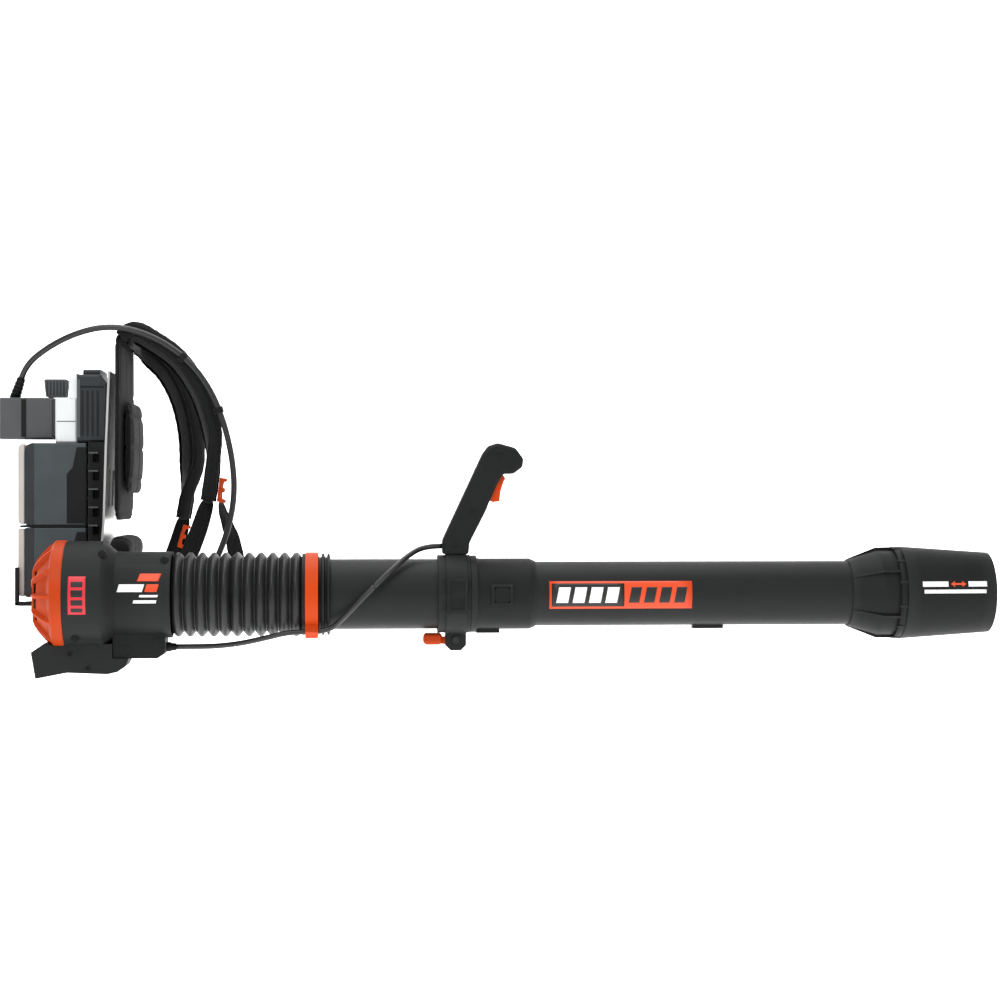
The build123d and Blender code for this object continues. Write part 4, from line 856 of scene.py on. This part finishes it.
def swept(name, line, section, roll=None, middle=0.0):
    """A closed form along a line in XZ; section(share) gives its (y, outward) points at that share of its way.
    roll(share) turns the section by that many degrees about the line at y = middle."""
    made, rings = bmesh.new(), []
    last = len(line) - 1
    for i, (x, z) in enumerate(line):
        (xa, za), (xb, zb) = line[max(i - 1, 0)], line[min(i + 1, last)]
        size = math.hypot(xb - xa, zb - za)
        nx, nz = -(zb - za) / size, (xb - xa) / size
        turn = math.radians(roll(i / last)) if roll else 0.0
        ring = []
        for y, out in section(i / last):
            side = y - middle
            y = middle + side * math.cos(turn) - out * math.sin(turn)
            out = side * math.sin(turn) + out * math.cos(turn)
            ring.append(made.verts.new(at(x + nx * out, y, z + nz * out)))
        rings.append(ring)
    for here, there in zip(rings, rings[1:]):
        for k in range(len(here)):
            made.faces.new((here[k], here[k - 1], there[k - 1], there[k]))
    made.faces.new(rings[0])
    made.faces.new(list(reversed(rings[-1])))
    return from_bmesh(name, made)


def soft_section(middle, wide, thick, corner, ends):
    """A pillow-edged section, its corners rounded off over the share `corner` at each end of the sweep."""
    def section(share):
        near = max(0.0, 1.0 - min(share, 1 - share) / corner)
        across = wide(share) / 2 * (1 - (1 - math.sqrt(1 - near * near)) * ends)
        deep = thick(share) / 2 * (1 - 0.45 * near ** 3)
        spots = []
        for k in range(SECTION_POINTS):
            angle = 2 * math.pi * k / SECTION_POINTS
            c, s = math.cos(angle), math.sin(angle)
            spots.append((middle + across * math.copysign(abs(c) ** 0.35, c),
                          deep * math.copysign(abs(s) ** 0.75, s)))
        return spots
    return section


def stuffed(piece, sewn, cap, voxel=5.0):
    """Fill a cover: even out its cloth, hold it at its seams, press it from inside for a few frames and keep
    that shape, with no point moved past the cap. sewn(point in mm) is the distance to the nearest seam."""
    evened(piece, "even cloth", voxel)
    applied(piece)
    home = [v.co.copy() for v in piece.data.vertices]
    held = piece.vertex_groups.new(name="sewn")
    for v in piece.data.vertices:
        held.add([v.index], 1.0 if sewn(v.co / MM) < 0.6 * voxel else 0.0, "REPLACE")
    cover = piece.modifiers.new("cover", "CLOTH")
    cover.settings.use_pressure = True
    cover.settings.uniform_pressure_force = bpy.context.scene.blower_sizes.pad_pressure
    cover.settings.effector_weights.gravity = 0
    cover.settings.quality = 5
    cover.settings.tension_stiffness = CLOTH_STRETCH
    cover.settings.compression_stiffness = CLOTH_STRETCH
    cover.settings.bending_stiffness = CLOTH_BEND
    cover.settings.vertex_group_mass = "sewn"
    cover.point_cache.frame_end = CLOTH_FRAMES
    for step in range(1, CLOTH_FRAMES + 1):
        bpy.context.scene.frame_set(step)
    applied(piece)
    bpy.context.scene.frame_set(1)
    for v, start in zip(piece.data.vertices, home):
        move = v.co - start
        if move.length > cap * MM:
            v.co = start + move.normalized() * cap * MM
    smooth = piece.modifiers.new("even out", "SMOOTH")
    smooth.factor, smooth.iterations = 0.5, 2
    finer = piece.modifiers.new("finer", "SUBSURF")
    finer.levels = finer.render_levels = 1
    applied(piece)


def sewn_channels(piece, sewn, depth, reach):
    """Draw the cover in along its sewn lines, with small puckers at the stitches."""
    normals = [v.normal.copy() for v in piece.data.vertices]
    for v, normal in zip(piece.data.vertices, normals):
        gap = sewn(v.co / MM)
        if gap < reach:
            ripple = 1 + 0.18 * math.sin(v.co.y / MM * 0.9) * math.sin(v.co.z / MM * 0.8)
            v.co -= normal * depth * MM * (1 - gap / reach) ** 2 * ripple


def share_along(line):
    """A measure of how far along a line in XZ its nearest point to a given point in mm lies, from 0 to 1."""
    def measure(point):
        best = min(range(len(line)), key=lambda i: (line[i][0] - point.x) ** 2 + (line[i][1] - point.z) ** 2)
        return best / (len(line) - 1)
    return measure


def padded_piece(name, line, section, sewn, node, finish="mesh", cap=4.0, depth=2.2, reach=7.0,
                 roll=None, middle=0.0):
    """One padded piece of the harness, from its empty cover to its sewn channels."""
    piece = new_piece(name, swept(name, line, section, roll, middle), finish, None)
    stuffed(piece, sewn, cap)
    sewn_channels(piece, sewn, depth * bpy.context.scene.blower_sizes.stitch_depth, reach)
    for face in piece.data.polygons:
        face.use_smooth = True
    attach(piece, "pack")
    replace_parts(piece, node)


def make_back_pads():
    """The back panel, the raised lumbar pad on it, and the roll at the belt line."""
    panel = through([(-13.0, -132), (-12.6, -60), (-12.0, 20), (-12.0, 90), (-12.3, 132)], steps=12)
    padded_piece("back_panel_cover", panel,
                 soft_section(0, lambda s: 232 - 10 * s, lambda s: 10.5, 0.14, 0.3),
                 lambda p: min(abs(abs(p.y) - 102), abs(abs(p.y) - 34) if p.z > 48 else 99, abs(p.z - 118),
                               abs(p.z + 119), abs(p.z - 49) if p.x > -13 else 99),
                 "back_panel", finish="cloth", cap=3.0, depth=1.4, reach=5.0)
    lumbar = through([(0.5, -95), (1.6, -60), (2.2, -20), (1.6, 15), (0.2, 39)], steps=12)
    padded_piece("lumbar_cushion", lumbar,
                 soft_section(0, lambda s: 186,
                              lambda s: 7.5 + 7.5 * math.sin(math.pi * min(1, max(0, s))) ** 0.7, 0.18, 0.25),
                 lambda p: min(abs(p.y), abs(p.z + 74), abs(p.z + 28), abs(p.z - 17), abs(abs(p.y) - 84)),
                 "lumbar_pad", cap=3.0, depth=2.4, reach=8.0)
    roll = through([(-23.5, -173), (-15, -172), (-4, -173), (5.5, -174)], steps=8)
    padded_piece("hip_roll", roll, soft_section(0, lambda s: 218, lambda s: 40, 0.5, 0.05),
                 lambda p: min(abs(p.y - 60 * k) for k in (-1.5, -0.5, 0.5, 1.5)), "hip_belt", finish="cloth",
                 cap=4.0, depth=2.0, reach=6.0)


def binding_section(edge, side, thick):
    """A folded tape around one edge of a strap."""
    def section(share):
        ripple = 0.25 * math.sin(share * 210)
        outer, inner = [], []
        for k in range(13):
            a = math.pi * (k / 12 - 0.5)
            outer.append((edge + side * (5.5 * math.cos(a) - 4.6 + ripple),
                          (thick / 2 + ripple) * math.sin(a)))
            inner.append((edge + side * (4.3 * math.cos(a) - 4.6), (thick / 2 - 1.1) * math.sin(a)))
        return (outer + inner[::-1])[::side]
    return section


def make_straps():
    """Foam shoulder straps with a mesh face and binding down both edges, sewn to a cloth yoke at the top."""
    yoke = swept("shoulder_yoke", through([(-15, 133), (-5, 134), (3, 129), (4, 112)]),
                 soft_section(0, lambda s: 202, lambda s: 5.5, 0.15, 0.1))
    new_piece("shoulder_yoke", yoke, "cloth", "pack")
    for name, points, middle, node, lean in (("right_strap", STRAP_RIGHT, -STRAP_MIDDLE, "strap_right", -19),
                                             ("left_strap", STRAP_LEFT, STRAP_MIDDLE, "strap_left", -34)):
        def roll(share, lean=lean):
            """The strap's lean, eased in from the shoulder and out again before the foot."""
            ease = min(1.0, max(0.0, min(share, 0.92 - share) / 0.22))
            return lean * ease * ease * (3 - 2 * ease)

        line = through(points, steps=8)
        share_of = share_along(line)
        padded_piece(name, line, soft_section(middle, lambda s: 46, lambda s: 17.5, 0.06, 0.5),
                     lambda p: min(abs(abs(p.y - middle) - 16), 150 * abs(share_of(p) - 0.08),
                                   150 * abs(share_of(p) - 0.93)),
                     node, cap=3.0, depth=1.8, reach=5.0, roll=roll, middle=middle)
        for side, tag in ((-1, "outer"), (1, "inner")):
            tape_name = f"{name}_binding_{tag}"
            tape = swept(tape_name, line[1:-1], binding_section(middle + side * 24.4, side, 20), roll, middle)
            new_piece(tape_name, tape, "webbing", "pack")


def strap_section(middle, wide, thick):
    """Flat webbing with thick selvedges."""
    def section(share):
        half, deep = wide / 2, thick / 2
        wave = 0.35 * math.sin(share * 23)
        ring = [(-half, -deep * 0.6), (-half + 1.2, -deep), (-half + 3, -deep * 0.75),
                (half - 3, -deep * 0.75), (half - 1.2, -deep), (half, -deep * 0.6),
                (half, deep * 0.6), (half - 1.2, deep), (half - 3, deep * 0.75),
                (-half + 3, deep * 0.75), (-half + 1.2, deep), (-half, deep * 0.6)]
        return [(middle + y, out + wave) for y, out in ring]
    return section


def make_webbing():
    """Adjusting webbing from each strap's foot to the frame, with its loose tail and sewn ends."""
    most = math.degrees(bpy.context.scene.blower_sizes.webbing_twist)
    for name, points, middle in (("right_webbing", WEB_RIGHT, -STRAP_MIDDLE),
                                 ("left_webbing", WEB_LEFT, STRAP_MIDDLE),
                                 ("right_webbing_tail", TAIL_RIGHT, -STRAP_MIDDLE)):
        line = through(points, steps=10)

        def twist(share, loose=points is TAIL_RIGHT):
            """The webbing's turn: most half way along, or at the free end of a loose tail."""
            return -most * (0.85 * share ** 0.5 if loose else max(0.0, math.sin(math.pi * share)) ** 0.5)

        web = swept(name, line, strap_section(middle, WEB_WIDE, WEB_THICK), twist, middle)
        piece = new_piece(name, web, "webbing", "pack")
        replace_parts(piece, "webbing")
        if name != "right_webbing_tail":
            fold = swept(f"{name}_sewn_end", line[-12:-2], strap_section(middle, 25, 2.4))
            for v in fold.vertices:
                v.co.z += WEB_THICK * MM
            new_piece(f"{name}_sewn_end", fold, "cloth", "pack")


# ---- Strap adjusters: moulded ladder locks ----
CHEEK = [(-2.5, 17), (6, 17), (7.5, 13), (3, 11.5), (2, 4), (5.5, 2.5), (5.5, -2.5), (2, -4), (3, -11.5),
         (9, -14), (8, -18), (-2.5, -17)]
LADDER_BARS = (((-2, -13.8, 12.5), (4.5, 13.8, 16.5)), ((-2, -13.8, -2.4), (3.5, 13.8, 2.4)),
               ((-2, -13.8, -16.5), (5.5, 13.8, -12.5)))


def make_adjusters():
    """Two cheeks with three bars between them, turned to lie along each strap's foot."""
    for name, spot, lean, middle in (("right_adjuster", (129.9, -87.7), 7.2, -STRAP_MIDDLE),
                                     ("left_adjuster", (65.2, -155.0), 16.0, STRAP_MIDDLE)):
        made = bmesh.new()
        for y0, y1 in ((-17, -13.6), (13.6, 17)):
            add_plate(made, CHEEK, y0, y1)
        for low, high in LADDER_BARS:
            brick(made, low, high)
        for v in made.verts:
            v.co = Matrix.Rotation(math.radians(lean), 3, "Y") @ v.co + at(spot[0], middle, spot[1])
        piece = new_piece(name, from_bmesh(name, made), "orange", "pack", smooth=False)
        bevelled(piece, 0.7)
        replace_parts(piece, "strap_hardware")


# ---- Cord ties: soft loops round a strap and the lead ----
TIE_RADIUS = 6.1
TIE_STEPS = 28
# The tape's section: its place across the loop's width, and how far it stands out from the loop's radius.
TIE_SECTION = ((-4.5, 0.0), (-3.6, 0.9), (3.6, 0.9), (4.5, 0.0), (3.6, -0.7), (-3.6, -0.7))


def make_ties():
    """A loop of tape round the lead at each of the two places where the strap holds it."""
    for name, spot, along in (("upper_cord_tie", (79, -106, 97.5), (1, -0.9)),
                              ("lower_cord_tie", (128.5, -106, 23.5), (0.3, -1))):
        size = math.hypot(*along)
        tx, tz = along[0] / size, along[1] / size
        made = bmesh.new()
        rows = []
        for i in range(TIE_STEPS):
            a = 2 * math.pi * i / TIE_STEPS
            row = []
            for wide, grow in TIE_SECTION:
                r = TIE_RADIUS + grow
                out, side = r * math.cos(a), r * math.sin(a)
                row.append(made.verts.new(at(spot[0] + tx * wide - tz * out, spot[1] - 6.5 + side,
                                             spot[2] + tz * wide + tx * out)))
            rows.append(row)
        for i in range(TIE_STEPS):
            here, there = rows[i], rows[(i + 1) % TIE_STEPS]
            for k in range(len(TIE_SECTION)):
                made.faces.new((here[k], here[k - 1], there[k - 1], there[k]))
        piece = new_piece(name, from_bmesh(name, made), "webbing", "pack")
        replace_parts(piece, "cord_ties")


# ---- CAD pieces that keep their shape ----
NODE_FINISH = {
    "casing": ["motor_housing_right", "motor_housing_left", "control_box_right", "control_box_left",
               "tube_coupler", "clamp_upper", "clamp_lower", "nozzle_hub", "nozzle_sleeve", "side_dock"],
    "dark": ["cable_glands", "lock_button", "fan_rotor", "stator_vanes", "clamp_liner", "strain_relief",
             "battery_dock", "hose_cuff", "housing_screws", "handle_screws"],
    "orange": ["hose_clamp_ring", "cam_lever", "trigger", "battery_latch_1", "battery_latch_2",
               "battery_latch_3", "battery_latch_4"],
    "tube": ["rear_tube", "front_tube"],
    "steel": ["motor_shaft", "motor_bearings", "cam_pin"],
    "copper": ["motor_stator"],
    "board": ["controller_board", "trigger_switch"],
    "frame": ["back_frame"],
    "unit": ["electronics_unit"],
    "pale": ["terminal_block"],
    "plug": ["plug_body", "plug_latch"],
}


def finish_cad_nodes():
    """Give each kept CAD piece its finish."""
    for finish, names in NODE_FINISH.items():
        for name in names:
            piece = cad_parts[name]
            piece.data.materials.clear()
            piece.data.materials.append(FINISH[finish])


# ---- Sizes and colours that a user would change ----
class BlowerSizes(bpy.types.PropertyGroup):
    """Sizes of the soft and moulded detail."""
    corrugation: bpy.props.FloatProperty(
        name="Corrugation height", description="Height of each hose ridge above its valley", default=0.0074,
        min=0.002, max=0.009, unit="LENGTH")
    grille_recess: bpy.props.FloatProperty(
        name="Grille recess", description="How far each intake panel sits below its ribs", default=0.0042,
        min=0.0, max=0.006, unit="LENGTH")
    pad_pressure: bpy.props.FloatProperty(
        name="Pad pressure", description="How hard the foam presses its cover", default=4.0, min=0.0,
        max=10.0)
    stitch_depth: bpy.props.FloatProperty(
        name="Stitch depth", description="How deeply the sewn lines draw the pads in", default=1.0, min=0.0,
        max=2.0, subtype="FACTOR")
    webbing_twist: bpy.props.FloatProperty(
        name="Webbing twist", description="How far the webbing turns on its way to the frame",
        default=math.radians(72), min=0.0, max=math.radians(90), subtype="ANGLE")
    grip_rounding: bpy.props.IntProperty(
        name="Grip rounding", description="Rounds of smoothing on the handle's edges", default=12, min=0,
        max=20)


class BlowerColours(bpy.types.PropertyGroup):
    """Colours of the main surfaces."""
    casing: bpy.props.FloatVectorProperty(
        name="Casings", description="The moulded housings, clamps and nozzle",
        default=linear("#181919")[:3], size=3, min=0.0, max=1.0, subtype="COLOR")
    accent: bpy.props.FloatVectorProperty(
        name="Accents", description="The grille, clamp ring, trigger, cam and adjusters",
        default=linear("#b03a0c")[:3], size=3, min=0.0, max=1.0, subtype="COLOR")
    battery: bpy.props.FloatVectorProperty(
        name="Battery packs", description="The slide-on packs",
        default=linear("#3b4143")[:3], size=3, min=0.0, max=1.0, subtype="COLOR")
    label: bpy.props.FloatVectorProperty(
        name="Labels", description="The coloured ink of the printed films",
        default=linear("#d8430f")[:3], size=3, min=0.0, max=1.0, subtype="COLOR")


# ---- Operators: the stage, then one for each piece or group of like pieces ----
class BLOWER_OT_finishes(bpy.types.Operator):
    """Make every surface finish from the chosen colours."""
    bl_idname = "blower.finishes"
    bl_label = "Finishes"

    def execute(self, context):
        FINISH.update(make_materials())
        return {"FINISHED"}


class BLOWER_OT_stage(bpy.types.Operator):
    """Place the camera, the paper backdrop and the lights."""
    bl_idname = "blower.stage"
    bl_label = "Stage"

    def execute(self, context):
        make_stage()
        return {"FINISHED"}


class BLOWER_OT_cords(bpy.types.Operator):
    """Lay the power lead and the control cable at their real lengths."""
    bl_idname = "blower.cords"
    bl_label = "Cords"

    def execute(self, context):
        make_cords()
        return {"FINISHED"}


class BLOWER_OT_hose(bpy.types.Operator):
    """Make the two corrugated stretches of the air hose."""
    bl_idname = "blower.hose"
    bl_label = "Hose"

    def execute(self, context):
        make_hose()
        return {"FINISHED"}


class BLOWER_OT_grille(bpy.types.Operator):
    """Make the ribbed intake dome with its inner screen."""
    bl_idname = "blower.grille"
    bl_label = "Intake grille"

    def execute(self, context):
        make_grille()
        return {"FINISHED"}


class BLOWER_OT_labels(bpy.types.Operator):
    """Lay the plain printed films on the housing, tube and nozzle."""
    bl_idname = "blower.labels"
    bl_label = "Labels"

    def execute(self, context):
        make_labels()
        return {"FINISHED"}


class BLOWER_OT_batteries(bpy.types.Operator):
    """Make the four slide-on packs with their end caps and their dark plates of painted shade."""
    bl_idname = "blower.batteries"
    bl_label = "Battery packs"

    def execute(self, context):
        make_batteries()
        return {"FINISHED"}


class BLOWER_OT_trims(bpy.types.Operator):
    """Make the ribs, louvres, seams and guards of the pack and plug."""
    bl_idname = "blower.trims"
    bl_label = "Pack trims"

    def execute(self, context):
        make_pack_trims()
        return {"FINISHED"}


class BLOWER_OT_nozzle_slots(bpy.types.Operator):
    """Make the black ring of painted shade in the air gaps, and the ribs where the nozzle sleeve meets its
    hub.
    """
    bl_idname = "blower.nozzle_slots"
    bl_label = "Nozzle air gaps"

    def execute(self, context):
        make_nozzle_slots()
        return {"FINISHED"}


class BLOWER_OT_handle(bpy.types.Operator):
    """Make the two smooth shells of the trigger handle."""
    bl_idname = "blower.handle"
    bl_label = "Handle"

    def execute(self, context):
        make_handle()
        return {"FINISHED"}


class BLOWER_OT_back_pads(bpy.types.Operator):
    """Fill and sew the back panel, the lumbar pad and the belt roll."""
    bl_idname = "blower.back_pads"
    bl_label = "Back pads"

    def execute(self, context):
        make_back_pads()
        return {"FINISHED"}


class BLOWER_OT_straps(bpy.types.Operator):
    """Fill and sew the two shoulder straps and bind their edges."""
    bl_idname = "blower.straps"
    bl_label = "Shoulder straps"

    def execute(self, context):
        make_straps()
        return {"FINISHED"}


class BLOWER_OT_webbing(bpy.types.Operator):
    """Run the adjusting webbing from the straps to the frame."""
    bl_idname = "blower.webbing"
    bl_label = "Webbing"

    def execute(self, context):
        make_webbing()
        return {"FINISHED"}


class BLOWER_OT_adjusters(bpy.types.Operator):
    """Make the two moulded ladder locks."""
    bl_idname = "blower.adjusters"
    bl_label = "Strap adjusters"

    def execute(self, context):
        make_adjusters()
        return {"FINISHED"}


class BLOWER_OT_ties(bpy.types.Operator):
    """Make the loops that hold the power lead to the strap."""
    bl_idname = "blower.ties"
    bl_label = "Cord ties"

    def execute(self, context):
        make_ties()
        return {"FINISHED"}


class BLOWER_OT_cad_pieces(bpy.types.Operator):
    """Give every rigid piece that keeps its own shape its finish."""
    bl_idname = "blower.cad_pieces"
    bl_label = "Rigid pieces"

    def execute(self, context):
        finish_cad_nodes()
        return {"FINISHED"}


OPERATORS = (
    BLOWER_OT_finishes, BLOWER_OT_stage, BLOWER_OT_cords, BLOWER_OT_hose, BLOWER_OT_grille, BLOWER_OT_labels,
    BLOWER_OT_batteries, BLOWER_OT_trims, BLOWER_OT_nozzle_slots, BLOWER_OT_handle, BLOWER_OT_back_pads,
    BLOWER_OT_straps, BLOWER_OT_webbing, BLOWER_OT_adjusters, BLOWER_OT_ties, BLOWER_OT_cad_pieces)


class BLOWER_PT_panel(bpy.types.Panel):
    """The blower's sizes, colours and pieces."""
    bl_idname = "BLOWER_PT_panel"
    bl_label = "Backpack leaf blower"
    bl_space_type = "VIEW_3D"
    bl_region_type = "UI"
    bl_category = "Blower"

    def draw(self, context):
        for group in (context.scene.blower_sizes, context.scene.blower_colours):
            box = self.layout.box()
            for name in group.__annotations__:
                box.prop(group, name)
        for kind in OPERATORS:
            self.layout.operator(kind.bl_idname)


CLASSES = (BlowerSizes, BlowerColours) + OPERATORS + (BLOWER_PT_panel,)


def register():
    for kind in CLASSES:
        bpy.utils.register_class(kind)
    bpy.types.Scene.blower_sizes = bpy.props.PointerProperty(type=BlowerSizes)
    bpy.types.Scene.blower_colours = bpy.props.PointerProperty(type=BlowerColours)


def unregister():
    del bpy.types.Scene.blower_colours
    del bpy.types.Scene.blower_sizes
    for kind in reversed(CLASSES):
        bpy.utils.unregister_class(kind)


def main():
    register()
    for kind in OPERATORS:
        getattr(bpy.ops.blower, kind.bl_idname.split(".")[1])()


if __name__ == "__main__":
    main()
